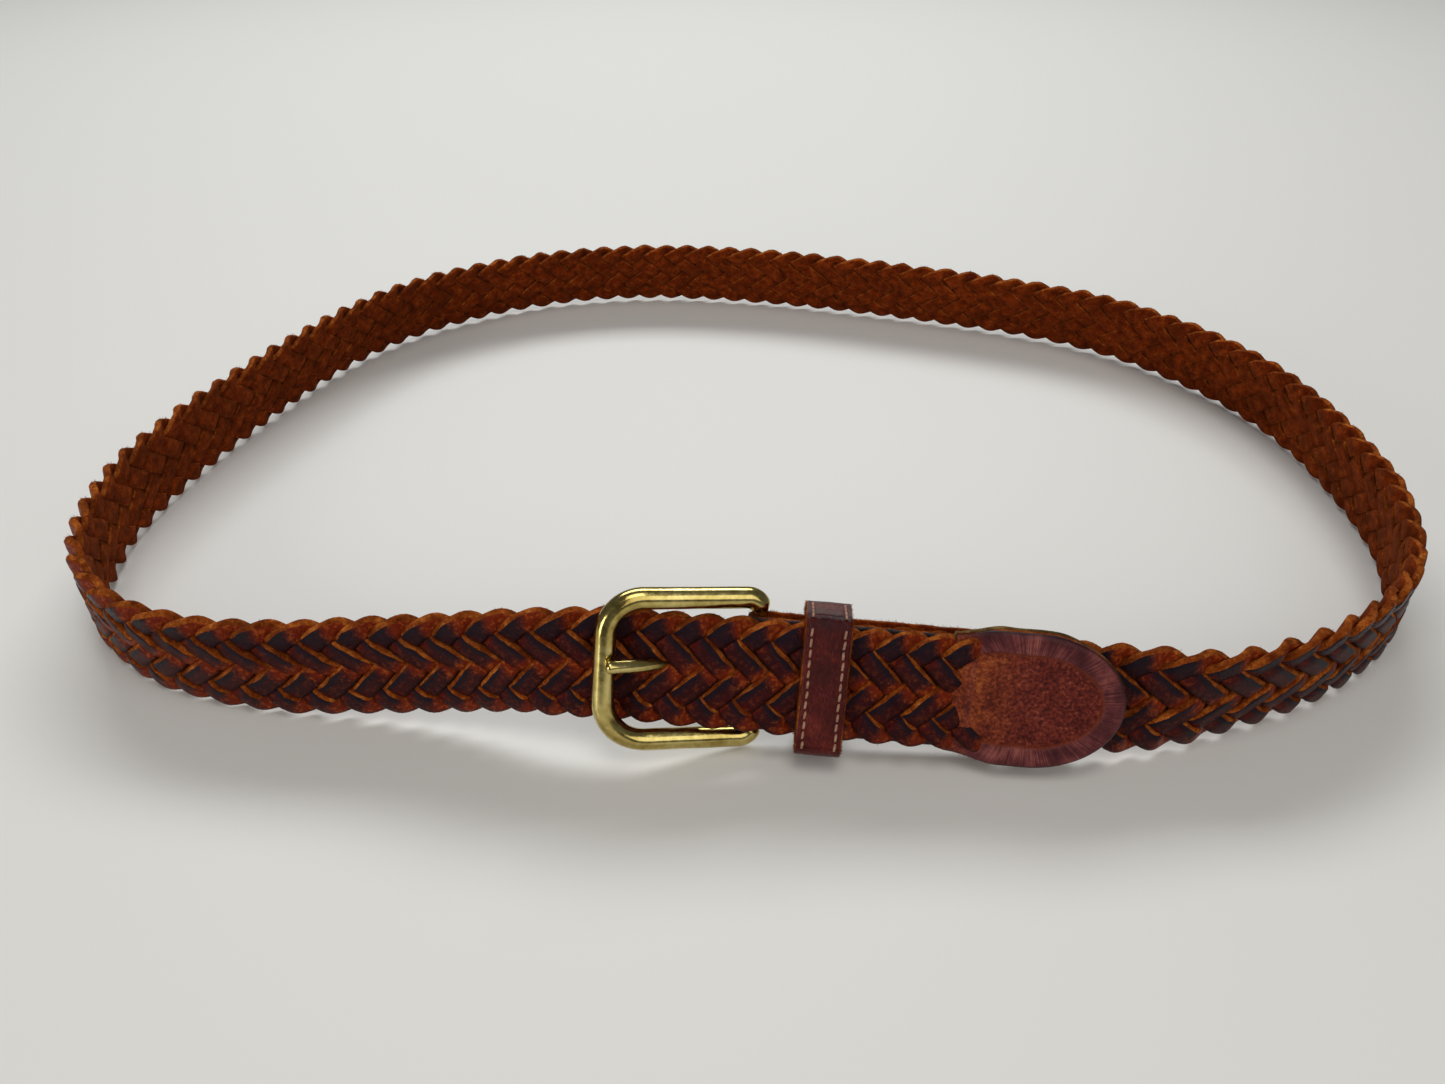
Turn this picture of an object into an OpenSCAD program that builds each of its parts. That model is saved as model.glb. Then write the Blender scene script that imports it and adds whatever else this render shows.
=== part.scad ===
/* [Strap] */
// Width of the plaited strap, top edge to bottom edge
strap_w = 30; // [29:0.5:30.5]
// Thickness of the plait
strap_t = 4.4; // [4:0.1:4.5]
// Thickness of the plait where it is pressed flat inside the billet
core_t = 3.3; // [2.8:0.1:3.3]
/* [Buckle] */
// Radius of the brass wire of the frame
wire_r = 2.7; // [2.4:0.1:2.7]
// Clear height inside the frame
frame_inner_h = 30.8; // [30.8:0.1:32]
// Distance from the hinge bar to the outer bar, centre to centre
frame_l = 38; // [37.5:0.5:39]
// Bend radius of the two outer corners, at the wire centre
corner_r = 9.5; // [8:0.5:10]
// Radius of the thin hinge bar
bar_r = 1.7; // [1.5:0.05:1.7]
// Radial running clearance of the prong and of the billet on the bar
bar_fit = 0.08; // [0.04:0.01:0.09]
// Angle of the frame in front of the strap
frame_tilt = 17.5; // [17.2:0.1:18]
// Radius of the prong's shank at the root
prong_r = 1.7; // [1.4:0.1:1.8]
/* [Keeper] */
// Width of the keeper along the strap
keeper_w = 11; // [9:0.5:12]
// Where the keeper starts, measured from the hinge bar
keeper_x = 10.7; // [9.5:0.1:12]
// How much lower than the free strap the billet and the root end sit
root_drop = 0.7; // [0.5:0.1:0.8]
// Thickness of the keeper's outer leather
keeper_t = 1.3; // [1:0.1:1.3]
// Thickness of the keeper's lining
keeper_lining_t = 0.9; // [0.6:0.1:0.9]
/* [Billet] */
// Length of the folded billet legs from the bar
billet_l = 60; // [54:1:62]
// Thickness of the billet leather
billet_t = 1.5; // [1.2:0.1:1.5]
/* [Tip] */
// Widest size of the tip tab
tip_w = 34; // [32:0.5:34.5]
// Length of the tip tab
tip_l = 41.5; // [40:0.5:46]
// Where the tip tab starts, measured from the hinge bar
tip_x = 46.3; // [46.3:0.1:50]
// Height of the raised rim of the tip
tip_rim_h = 0.5; // [0.3:0.1:0.6]

/* [Hidden] */
leather_dark = [0.22, 0.07, 0.05];
leather_braid = [0.33, 0.11, 0.07];
brass = [0.62, 0.50, 0.22];
thread_tan = [0.62, 0.38, 0.24];

// The buckle stands tilted on its hinge bar. This frame has its origin on the
// bar at mid height, X along the strap to the tip, Y to the inside of the loop
// and Z up the strap.
// The whole belt is moved by this much so that the origin is at its middle.
centre_x = -0.174;
centre_y = 5.129;
bar_pos = [-0.5 + centre_x, -130.3 + centre_y, 19.5];
turn = -5;
dip = 2.2;
lean = -22;
function mat_x(a) = [[1, 0, 0], [0, cos(a), -sin(a)], [0, sin(a), cos(a)]];
function mat_y(a) = [[cos(a), 0, sin(a)], [0, 1, 0], [-sin(a), 0, cos(a)]];
function mat_z(a) = [[cos(a), -sin(a), 0], [sin(a), cos(a), 0], [0, 0, 1]];
M = mat_z(turn) * mat_y(dip) * mat_x(lean);
function g(p) = bar_pos + M * p;
module at_buckle() translate(bar_pos) rotate([0, 0, turn]) rotate([0, dip, 0]) rotate([lean, 0, 0]) children();

// Layers across the strap at the buckle, inside to outside.
leg_in = core_t / 2 + 0.05;
leg_out = leg_in + billet_t;
free_back = -3.5;
free_front = free_back - strap_t;
free_mid = (free_back + free_front) / 2;

// A strip's section: a flat bar with broken edges, as [across, up] pairs.
function sect(t, w, c = 0.9) = [
    [-t/2, -w/2 + c], [-t/2 + c, -w/2], [t/2 - c, -w/2], [t/2, -w/2 + c],
    [t/2, w/2 - c], [t/2 - c, w/2], [-t/2 + c, w/2], [-t/2, w/2 - c]];

// One ring of the strap in the buckle's frame.
function g_ring(x, y, t, dz = 0, w = strap_w) = [for (s = sect(t, w)) g([x, y + s[0], s[1] + dz])];

// Stations round the loop: [x, y, lean inwards, lift of the lower edge].
// They go from the buckle's inside run, round the right, the back and the
// left, to the outside run.
loop_right = [
    [79, -137.3, 22, 2.4], [96, -138.5, 10, 0.9], [112.5, -136, -3, 0], [129.5, -130.5, -6, 0],
    [141.5, -125.5, -5, 0], [155.5, -117.3, -3.5, 0], [170.5, -105, -1, 0], [180, -92.5, 3, 0],
    [187, -76.3, 7, 0], [192, -57.5, 9.5, 0], [193, -34, 11.5, 0], [191.5, -6.5, 13.5, 0]];
loop_back = [
    [192, -57.5, 9.5, 0], [193, -34, 11.5, 0], [191.5, -6.5, 13.5, 0], [186, 17.5, 15, 0],
    [173.5, 43.7, 16.5, 0], [150.5, 71.4, 19, 0], [123, 89.5, 21, 0], [83.5, 105.2, 21, 0],
    [24.5, 123, 20.5, 0], [-11, 129.8, 21, 0], [-37.5, 132, 22, 0], [-63.7, 129.8, 22.5, 0],
    [-89.3, 122.7, 22, 0], [-113.2, 110.5, 20.7, 0]];
loop_left = [
    [-63.7, 129.8, 22.5, 0], [-89.3, 122.7, 22, 0], [-113.2, 110.5, 20.7, 0], [-135.2, 94.3, 19.5, 0],
    [-154, 70.6, 18, 0], [-169.2, 39.3, 15, 0], [-181.2, 6.8, 12, 0], [-188, -15.8, 9.5, 0],
    [-192.4, -37.4, 7.5, 0], [-193.9, -52.1, 6.5, 0], [-192.6, -67.4, 5, 0], [-189.1, -83, 3, 0],
    [-182.9, -95.6, 0.5, 0], [-173.3, -106.4, -2.5, 0], [-160, -116.4, -4.5, 0], [-146.6, -121.4, -4, 0],
    [-133.3, -124.5, -1.5, 0], [-119, -126.3, 1, 0.3]];
loop_front = [
    [-133.3, -124.5, -1.5, 0], [-119, -126.3, 1, 0.3], [-106, -126.9, 2.5, 1], [-93, -127.5, 4, 2.4],
    [-79, -129.3, 3, 4.4], [-66, -131.1, 6, 6.7], [-56, -132.7, 9.5, 8.2], [-47, -133.4, 14, 8.8]];

function spl(p, i, u) = 0.5 * ((2 * p[i]) + (p[i+1] - p[i-1]) * u
    + (2*p[i-1] - 5*p[i] + 4*p[i+1] - p[i+2]) * u*u
    + (3*p[i] - p[i-1] - 3*p[i+1] + p[i+2]) * u*u*u);
function spd(p, i, u) = 0.5 * ((p[i+1] - p[i-1])
    + 2*(2*p[i-1] - 5*p[i] + 4*p[i+1] - p[i+2]) * u
    + 3*(3*p[i] - p[i-1] - 3*p[i+1] + p[i+2]) * u*u);
// One ring at a station. The inner side is to the left of the direction of
// travel on the way round, so the normal is the travel turned by 90 degrees.
function loop_ring(s, d) = let (
        n = [-d[1], d[0]] / norm([d[0], d[1]]),
        a = s[2],
        flat = max(0, min(1, 1 - s[3] / 3)),
        hx = cos(a) * (1 - flat) + flat / cos(a),
        hz = -sin(a) * (1 - flat),
        zc = max(0, s[3]) + strap_w / 2 * cos(a) + strap_t/2 * abs(sin(a)) * (1 - flat))
    [for (q = sect(strap_t, strap_w))
        [s[0] + n[0] * (q[0] * hx + q[1] * sin(a)) + centre_x,
         s[1] + n[1] * (q[0] * hx + q[1] * sin(a)) + centre_y,
         zc + q[0] * hz + q[1] * cos(a)]];
function loop_rings(p, i0, u0, i1, u1, n = 3) = concat(
    [loop_ring(spl(p, i0, u0), spd(p, i0, u0))],
    [for (i = [i0 : i1], k = [0 : n - 1])
        let (u = k / n)
        if (i + u > i0 + u0 + 0.1 && i + u < i1 + u1 - 0.1)
            loop_ring(spl(p, i, u), spd(p, i, u))],
    [loop_ring(spl(p, i1, u1), spd(p, i1, u1))]);

module strip(rings) {
    n = len(rings);
    m = len(rings[0]);
    polyhedron(
        points = [for (r = rings, p = r) p],
        faces = concat(
            [[for (j = [0 : m - 1]) j]],
            [for (i = [0 : n - 2], j = [0 : m - 1], h = [0, 1])
                h == 0 ? [i*m + j, (i+1)*m + j, (i+1)*m + (j+1) % m]
                       : [i*m + j, (i+1)*m + (j+1) % m, i*m + (j+1) % m]],
            [[for (j = [m - 1 : -1 : 0]) (n-1)*m + j]]),
        convexity = 6);
}

// The strap from the pressed end inside the billet, round the right side.
module braid_right() color(leather_braid)
    strip(concat([g_ring(10, 0, core_t, -root_drop, strap_w - 1.2), g_ring(billet_l + 0.5, 0, core_t, -root_drop, strap_w - 1.2),
                  g_ring(billet_l + 3, 0, strap_t, -root_drop), g_ring(78, 0, strap_t, -root_drop)],
                 loop_rings(loop_right, 1, 0, 9, 1)));

module braid_back() color(leather_braid)
    strip(loop_rings(loop_back, 1, 0.01, 11, 1));

module braid_left_bend() color(leather_braid)
    strip(loop_rings(loop_left, 1, 0.012, 15, 1));

module braid_front_left() color(leather_braid)
    strip(concat(loop_rings(loop_front, 1, 0, 5, 1),
                 [g_ring(-41, free_mid, strap_t), g_ring(-40.3, free_mid, strap_t)]));

// The straight run through the buckle, with the gap between the laces that
// the prong goes through.
module braid_buckle_run() color(leather_braid) at_buckle()
    difference() {
        translate([-40, free_mid, 0]) rotate([90, 0, 90]) linear_extrude(86)
            polygon([for (s = sect(strap_t, strap_w)) [s[0], s[1]]]);
        translate([-31.5, free_front - 1, -2.5]) cube([70, strap_t + 2, 6.3]);
    }

module buckle_frame() color(brass) at_buckle() rotate([0, 0, frame_tilt]) {
    h = frame_inner_h / 2 + wire_r;
    // hinge bar
    translate([0, 0, -h]) cylinder(h = 2 * h, r = bar_r, $fn = 40);
    // outer bar
    translate([-frame_l, 0, -h + corner_r]) cylinder(h = 2 * (h - corner_r), r = wire_r, $fn = 48);
    for (s = [-1, 1]) {
        // side wires with their rounded ends over the bar
        translate([-frame_l + corner_r, 0, s * h]) rotate([0, 90, 0])
            cylinder(h = frame_l - corner_r, r = wire_r, $fn = 48);
        translate([0, 0, s * h]) sphere(r = wire_r, $fn = 48);
        // outer corners
        translate([-frame_l + corner_r, 0, s * (h - corner_r)])
            rotate([90, 0, 0]) rotate([0, 0, s > 0 ? 90 : 180])
                rotate_extrude(angle = 90, $fn = 96) translate([corner_r, 0]) circle(r = wire_r, $fn = 48);
    }
}

// Stations of the prong: from the ring, behind the strap, through it and on
// to the outer bar. Each is [x, y, radius].
rest_x = -frame_l * cos(frame_tilt) + (wire_r + 1.75) * sin(frame_tilt);
rest_y = -frame_l * sin(frame_tilt) - (wire_r + 1.75) * cos(frame_tilt);
prong_pts = [[-1, 0.1, prong_r], [-2.4, 0.1, prong_r], [-6, 0.5, prong_r], [-11, 0.6, prong_r],
             [-15, 0.1, prong_r], [-18, -1.2, prong_r], [-21, -3.8, prong_r],
             [-24, -7.3, prong_r], [-27, -10.4, prong_r - 0.05], [-30, -12.7, prong_r - 0.1],
             [rest_x + 2.2, rest_y + 1.5, prong_r - 0.15], [rest_x + 0.6, rest_y + 0.5, prong_r - 0.25],
             [rest_x - 0.8, rest_y + 0.1, prong_r - 0.6], [rest_x - 1.2, rest_y, prong_r - 1.2]];
function prong_ring(i, n = 20) = let (
        p = prong_pts[i], a = prong_pts[max(0, i - 1)], b = prong_pts[min(len(prong_pts) - 1, i + 1)],
        d = [b[0] - a[0], b[1] - a[1]] / norm([b[0] - a[0], b[1] - a[1]]))
    [for (k = [0 : n - 1]) let (c = p[2] * cos(360 * k / n), e = p[2] * sin(360 * k / n))
        [p[0] - d[1] * c, p[1] + d[0] * c, e + prong_rise(p[0])]];
// The prong runs a little up the strap towards its point.
function prong_rise(x) = let (u = max(0, min(1, (-x - 12) / 22))) 2.5 * u * u * (3 - 2 * u);
module prong() color(brass) at_buckle() difference() {
    union() {
        translate([0, 0, -2]) cylinder(h = 4, r = 3.2, $fn = 48);
        strip([for (i = [0 : len(prong_pts) - 1]) prong_ring(i)]);
    }
    translate([0, 0, -3]) cylinder(h = 6, r = bar_r + bar_fit, $fn = 48);
}

// The billet: one piece of smooth leather folded round the bar, its two legs
// sewn to the pressed end of the plait between them.
module billet() color(leather_dark) at_buckle() translate([0, 0, -root_drop]) difference() {
    hh = strap_w / 2 - 0.6;
    union() {
        translate([0, 0, -hh]) difference() {
            cylinder(h = 2 * hh, r = leg_out, $fn = 48);
            translate([0, -5, -1]) cube([10, 10, 2 * hh + 2]);
        }
        for (s = [-1, 1]) translate([0, s > 0 ? leg_in : -leg_out, -hh]) cube([billet_l, leg_out - leg_in, 2 * hh]);
    }
    translate([0, 0, -hh - 1]) cylinder(h = 2 * hh + 2, r = bar_r + bar_fit, $fn = 48);
    translate([-6, -6, -2.5 + root_drop]) cube([15, 12, 5]);
}

module stitch(l, w, h) translate([-l / 2, 0, -w / 2]) cube([l, h, w]);

module billet_stitching() color(thread_tan) at_buckle()
    for (s = [-1, 1], x = [26 : 4 : billet_l - 4])
        translate([x, leg_out, s * (strap_w / 2 - 3) - root_drop]) stitch(2.8, 0.7, 0.35);

// The keeper's rounded hoop, seen along the strap.
module hoop(y0, y1, hh, r) {
    for (a = [[y0 + r, hh - r], [y1 - r, hh - r], [y0 + r, -hh + r], [y1 - r, -hh + r]]) translate(a) circle(r = r, $fn = 32);
    translate([y0 + r, -hh]) square([y1 - y0 - 2 * r, 2 * hh]);
    translate([y0, -hh + r]) square([y1 - y0, 2 * hh - 2 * r]);
}
kin_front = free_front - 0.3;
kin_back = leg_out + 0.3;
kin_h = strap_w / 2 + 0.8;
keeper_drop = 0.5;
module keeper_band(a, b, w0, w1) translate([w0, 0, -keeper_drop]) rotate([90, 0, 90])
    linear_extrude(w1 - w0) difference() {
        hoop(kin_front - b, kin_back + b, kin_h + b, 1.2 + b);
        hoop(kin_front - a, kin_back + a, kin_h + a, 1.2 + a);
    }
module keeper_lining() color([0.42, 0.2, 0.1]) at_buckle()
    keeper_band(0, keeper_lining_t, keeper_x + 0.3, keeper_x + keeper_w - 0.3);
module keeper_outer() color([0.28, 0.07, 0.05]) at_buckle()
    keeper_band(keeper_lining_t, keeper_lining_t + keeper_t, keeper_x, keeper_x + keeper_w);
kout = keeper_lining_t + keeper_t;
module keeper_stitching() color(thread_tan) at_buckle()
    for (x = [keeper_x + 1.6, keeper_x + keeper_w - 1.6], k = [-6 : 5])
        translate([x, kin_front - kout - 0.3, (k + 0.5) * 2.6 - keeper_drop]) stitch(0.6, 1.9, 0.3);
module keeper_staple() color([0.6, 0.6, 0.6]) at_buckle()
    translate([keeper_x + keeper_w / 2, kin_back + kout + 0.4, -4.5 - keeper_drop]) {
        cylinder(h = 9, r = 0.4, $fn = 24);
        for (z = [0, 9]) translate([0, 0, z]) sphere(r = 0.4, $fn = 24);
    }

// Outline of the tip tab: the strap's width at the neck, swelling to the tab's
// full width, then a half ellipse.
tip_xe = tip_x + tip_l - 22;
function neck(u) = let (e = u * u * (3 - 2 * u)) strap_w / 2 + (tip_w / 2 - strap_w / 2) * e;
function tip_outline() = concat(
    [for (k = [0 : 4]) [tip_x + 3 * k, -neck(k / 4)]],
    [for (a = [-90 : 9 : 90]) [tip_xe + 22 * cos(a), tip_w / 2 * sin(a)]],
    [for (k = [4 : -1 : 0]) [tip_x + 3 * k, neck(k / 4)]]);
// The sunk panel inside the raised rim.
function tip_panel() = [for (a = [0 : 9 : 351])
    [tip_xe + (cos(a) > 0 ? 16.5 : 15) * cos(a), (tip_w / 2 - 5.5) * sin(a)]];
module tip_plate(pts, y0, y1) translate([0, y1, 0]) rotate([90, 0, 0])
    linear_extrude(y1 - y0) polygon(pts);
module tip_top() color([0.30, 0.09, 0.06]) at_buckle() difference() {
    tip_plate(tip_outline(), free_front, free_back - 1.45);
    tip_plate(tip_panel(), free_front - 1, free_front + tip_rim_h);
}
module tip_lining() color([0.45, 0.36, 0.18]) at_buckle()
    tip_plate(tip_outline(), free_back - 1.4, free_back);

buckle_frame();
prong();
billet();
billet_stitching();
keeper_outer();
keeper_lining();
keeper_stitching();
keeper_staple();
braid_right();
braid_back();
braid_left_bend();
braid_front_left();
braid_buckle_run();
tip_top();
tip_lining();
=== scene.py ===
import bpy, bmesh, math
import numpy as np
from mathutils import Vector, Matrix


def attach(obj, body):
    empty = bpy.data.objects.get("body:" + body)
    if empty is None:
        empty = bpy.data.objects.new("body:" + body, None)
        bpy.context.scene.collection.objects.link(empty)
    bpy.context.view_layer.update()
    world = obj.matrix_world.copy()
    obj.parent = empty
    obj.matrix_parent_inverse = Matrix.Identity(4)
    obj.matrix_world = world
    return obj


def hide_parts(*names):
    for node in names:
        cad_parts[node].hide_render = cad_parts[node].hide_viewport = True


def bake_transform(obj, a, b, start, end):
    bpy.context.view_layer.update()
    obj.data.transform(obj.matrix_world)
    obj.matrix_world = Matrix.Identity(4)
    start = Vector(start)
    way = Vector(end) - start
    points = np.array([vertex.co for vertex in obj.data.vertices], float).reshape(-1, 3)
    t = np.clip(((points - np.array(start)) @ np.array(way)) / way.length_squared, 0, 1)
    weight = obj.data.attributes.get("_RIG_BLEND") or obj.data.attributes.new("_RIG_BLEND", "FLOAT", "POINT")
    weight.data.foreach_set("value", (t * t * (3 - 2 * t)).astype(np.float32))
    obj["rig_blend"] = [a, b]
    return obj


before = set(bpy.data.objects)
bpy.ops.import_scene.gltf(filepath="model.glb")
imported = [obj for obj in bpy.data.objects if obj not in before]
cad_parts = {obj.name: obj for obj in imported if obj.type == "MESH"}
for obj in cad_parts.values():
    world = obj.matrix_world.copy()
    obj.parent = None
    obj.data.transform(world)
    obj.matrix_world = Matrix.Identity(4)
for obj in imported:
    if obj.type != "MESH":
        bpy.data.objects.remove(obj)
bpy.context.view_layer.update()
rng = np.random.default_rng(7)

# ------------------------------------------------------------------ helpers
MM = 0.001
CX, CY = -0.174, 5.129
def rx(a):
    a = math.radians(a); return np.array([[1, 0, 0], [0, math.cos(a), -math.sin(a)], [0, math.sin(a), math.cos(a)]])
def ry(a):
    a = math.radians(a); return np.array([[math.cos(a), 0, math.sin(a)], [0, 1, 0], [-math.sin(a), 0, math.cos(a)]])
def rz(a):
    a = math.radians(a); return np.array([[math.cos(a), -math.sin(a), 0], [math.sin(a), math.cos(a), 0], [0, 0, 1]])
BAR = np.array([-0.5 + CX, -130.3 + CY, 19.5])
G = rz(-5) @ ry(2.2) @ rx(-22)
def g(p):
    """Buckle frame (mm) to row frame (mm); p is (..., 3)."""
    return BAR + np.asarray(p, float) @ G.T

def smooth01(x):
    x = np.clip(x, 0, 1)
    return x * x * (3 - 2 * x)

def vnoise(x, seed, scale=1.0):
    """Smooth 1-D value noise in [-1, 1]."""
    r = np.random.default_rng(seed).uniform(-1, 1, 4096)
    t = np.asarray(x, float) / scale + 1000.0
    i = np.floor(t).astype(int)
    f = t - i
    f = f * f * (3 - 2 * f)
    return r[i % 4096] * (1 - f) + r[(i + 1) % 4096] * f

def new_object(name, verts_mm, faces, mats, mat_index=None, uv=None, attrs=None, smooth=True):
    me = bpy.data.meshes.new(name)
    me.from_pydata((np.asarray(verts_mm, float) * MM).tolist(), [], [list(map(int, f)) for f in faces])
    for m in mats:
        me.materials.append(m)
    if mat_index is not None:
        me.polygons.foreach_set("material_index", np.asarray(mat_index, np.int32))
    me.polygons.foreach_set("use_smooth", np.full(len(me.polygons), smooth, bool))
    if uv is not None:
        layer = me.uv_layers.new(name="UVMap")
        loops = np.empty(len(me.loops), np.int32)
        me.loops.foreach_get("vertex_index", loops)
        if len(uv) == len(me.loops):
            layer.data.foreach_set("uv", np.asarray(uv, np.float32).ravel())
        else:
            layer.data.foreach_set("uv", np.asarray(uv, np.float32)[loops].ravel())
    for k, a in (attrs or {}).items():
        at = me.attributes.new(k, "FLOAT", "POINT")
        at.data.foreach_set("value", np.asarray(a, np.float32))
    me.validate()
    me.update()
    ob = bpy.data.objects.new(name, me)
    bpy.context.scene.collection.objects.link(ob)
    return ob

# ------------------------------------------------------------------ strap path
LOOP = [
    (96, -138.5, 10, 0.9), (112.5, -136, -3, 0), (129.5, -130.5, -6, 0),
    (141.5, -125.5, -5, 0), (155.5, -117.3, -3.5, 0), (170.5, -105, -1, 0), (180, -92.5, 3, 0),
    (187, -76.3, 7, 0), (192, -57.5, 9.5, 0), (193, -34, 11.5, 0), (191.5, -6.5, 13.5, 0),
    (186, 17.5, 15, 0), (173.5, 43.7, 16.5, 0), (150.5, 71.4, 19, 0), (123, 89.5, 21, 0),
    (83.5, 105.2, 21, 0), (24.5, 123, 20.5, 0), (-11, 129.8, 21, 0), (-37.5, 132, 22, 0),
    (-63.7, 129.8, 22.5, 0), (-89.3, 122.7, 22, 0), (-113.2, 110.5, 20.7, 0), (-135.2, 94.3, 19.5, 0),
    (-154, 70.6, 18, 0), (-169.2, 39.3, 15, 0), (-181.2, 6.8, 12, 0), (-188, -15.8, 9.5, 0),
    (-192.4, -37.4, 7.5, 0), (-193.9, -52.1, 6.5, 0), (-192.6, -67.4, 5, 0), (-189.1, -83, 3, 0),
    (-182.9, -95.6, 0.5, 0), (-173.3, -106.4, -2.5, 0), (-160, -116.4, -4.5, 0), (-146.6, -121.4, -4, 0),
    (-133.3, -124.5, -1.5, 0), (-119, -126.3, 1, 0.3), (-106, -126.9, 2.5, 1), (-93, -127.5, 4, 2.4),
    (-79, -129.3, 3, 4.4), (-66, -131.1, 6, 6.7), (-56, -132.7, 9.5, 8.2), (-47, -133.4, 14, 8.8)]
STRAP_W, STRAP_T = 30.0, 4.4
FREE_Y = -5.7          # middle of the free strap in the buckle frame
ROOT_X0, ROOT_X1 = 9.0, 78.0
FREE_X0, FREE_X1 = -38.0, 66.0
DROP = 0.7             # the root run sits this much lower than the free run

def build_path():
    pts, up, fixed = [], [], []
    for x in np.arange(ROOT_X0, ROOT_X1 + 0.1, 2.0):
        pts.append(g([x, 0, -DROP])); up.append(G @ np.array([0, 0, 1.0])); fixed.append(1)
    P = np.array(LOOP, float)
    # tangents in plan, for the lean direction
    full = np.vstack([[g([ROOT_X1, 0, 0])[0] - CX, g([ROOT_X1, 0, 0])[1] - CY, 22, 2.4], P,
                      [g([FREE_X0, FREE_Y, 0])[0] - CX, g([FREE_X0, FREE_Y, 0])[1] - CY, 20, 8.9]])
    for i in range(1, len(full) - 1):
        n_sub = 8
        for k in range(n_sub):
            u = k / n_sub
            if i == len(full) - 2 and k > 0:
                break
            p0, p1, p2, p3 = full[i-1], full[i], full[i+1], full[min(i+2, len(full)-1)]
            q = 0.5 * (2*p1 + (p2-p0)*u + (2*p0-5*p1+4*p2-p3)*u*u + (3*p1-p0-3*p2+p3)*u**3)
            d = 0.5 * ((p2-p0) + 2*(2*p0-5*p1+4*p2-p3)*u + 3*(3*p1-p0-3*p2+p3)*u*u)
            n = np.array([-d[1], d[0]]) / np.hypot(d[0], d[1])
            a = math.radians(q[2])
            z = max(0, q[3]) + STRAP_W/2*math.cos(a) + STRAP_T/2*abs(math.sin(a))
            pts.append(np.array([q[0] + CX, q[1] + CY, z]))
            up.append(np.array([n[0]*math.sin(a), n[1]*math.sin(a), math.cos(a)])); fixed.append(0)
    for x in np.arange(FREE_X0, FREE_X1 + 0.1, 2.0):
        pts.append(g([x, FREE_Y, 0])); up.append(G @ np.array([0, 0, 1.0])); fixed.append(1)
    pts, up, fixed = np.array(pts), np.array(up), np.array(fixed, float)
    L = np.concatenate([[0], np.cumsum(np.linalg.norm(np.diff(pts, axis=0), axis=1))])
    s = np.arange(0, L[-1], 0.5)
    R = np.stack([np.interp(s, L, pts[:, i]) for i in range(3)], 1)
    Uv = np.stack([np.interp(s, L, up[:, i]) for i in range(3)], 1)
    F = np.interp(s, L, fixed)
    # soften the joins between stations, but leave the straight runs alone
    def soften(a, n):
        k = np.hanning(2*n+1); k /= k.sum()
        pad = np.vstack([np.repeat(a[:1], n, 0), a, np.repeat(a[-1:], n, 0)])
        return np.stack([np.convolve(pad[:, i], k, "valid") for i in range(a.shape[1])], 1)
    Rs, Us = soften(R, 26), soften(Uv, 26)
    keep = (soften(F[:, None], 8) > 0.999).astype(float)
    keep = soften(keep, 24)
    R = R*keep + Rs*(1-keep)
    Uv = Uv*keep + Us*(1-keep)
    L = np.concatenate([[0], np.cumsum(np.linalg.norm(np.diff(R, axis=0), axis=1))])
    s = np.arange(0, L[-1], 0.25)
    C = np.stack([np.interp(s, L, R[:, i]) for i in range(3)], 1)
    U = np.stack([np.interp(s, L, Uv[:, i]) for i in range(3)], 1)
    T = np.gradient(C, axis=0); T /= np.linalg.norm(T, axis=1)[:, None]
    U -= (U*T).sum(1)[:, None]*T; U /= np.linalg.norm(U, axis=1)[:, None]
    O = np.cross(T, U)      # outward: travel x up
    return s, C, T, U, O
PS, PC, PT, PU, PO = build_path()
LEN = PS[-1]
def path_at(s):
    f = lambda A: np.stack([np.interp(s, PS, A[:, i]) for i in range(3)], 1)
    return f(PC), f(PU), f(PO)
S_ROOT = lambda x: x - ROOT_X0                       # buckle x on the root run -> s
S_FREE = lambda x: LEN - (FREE_X1 - x)               # buckle x on the free run -> s
def s_near(x, y):
    d = (PC[:, 0]-x)**2 + (PC[:, 1]-y)**2
    d[(PS < 60) | (PS > LEN-60)] = 1e9
    return PS[int(np.argmin(d))]
S_SPLIT = s_near(-169 + CX, 39 + CY)

# pitch of the edge bumps along the strap, mm
S_A, S_B = s_near(96, -133), s_near(145, -118)
P_S = [0, S_A-10, S_A+6, S_B, S_B+25, LEN-190, LEN-130, LEN]
P_V = [8.6, 8.8, 10.6, 10.2, 9.4, 9.4, 8.1, 8.0]
PHASE0 = 0.0459
_pp = np.interp(PS, P_S, P_V)
PHI = np.concatenate([[0], np.cumsum(0.25 / (7*_pp[:-1]))])
PHI = PHI - np.interp(S_FREE(58.0), PS, PHI) + PHASE0       # counted back from the tip

H_LACE = 1.06          # half of the lace thickness
HGT_PTS = np.array([-0.62, 0.62])
W0, DELTA = 13.75, 0.072
def lateral(c):
    """Smoothed triangle wave: -top..top, rising for c in [0, .5]."""
    c = c % 1.0
    def peak(d):      # d = distance from a peak, in cycles
        d = np.abs(d)
        lin = W0 - 4*W0*d
        rnd = W0 - 4*W0*(d*d/(2*DELTA) + DELTA/2)
        return np.where(d < DELTA, rnd, lin)
    up = c <= 0.25
    # trough at 0, peak at .5
    d_peak = c - 0.5
    d_low = np.where(c > 0.5, c - 1.0, c)
    return np.where(np.abs(d_peak) < 0.25, peak(d_peak), -peak(d_low))
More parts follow.
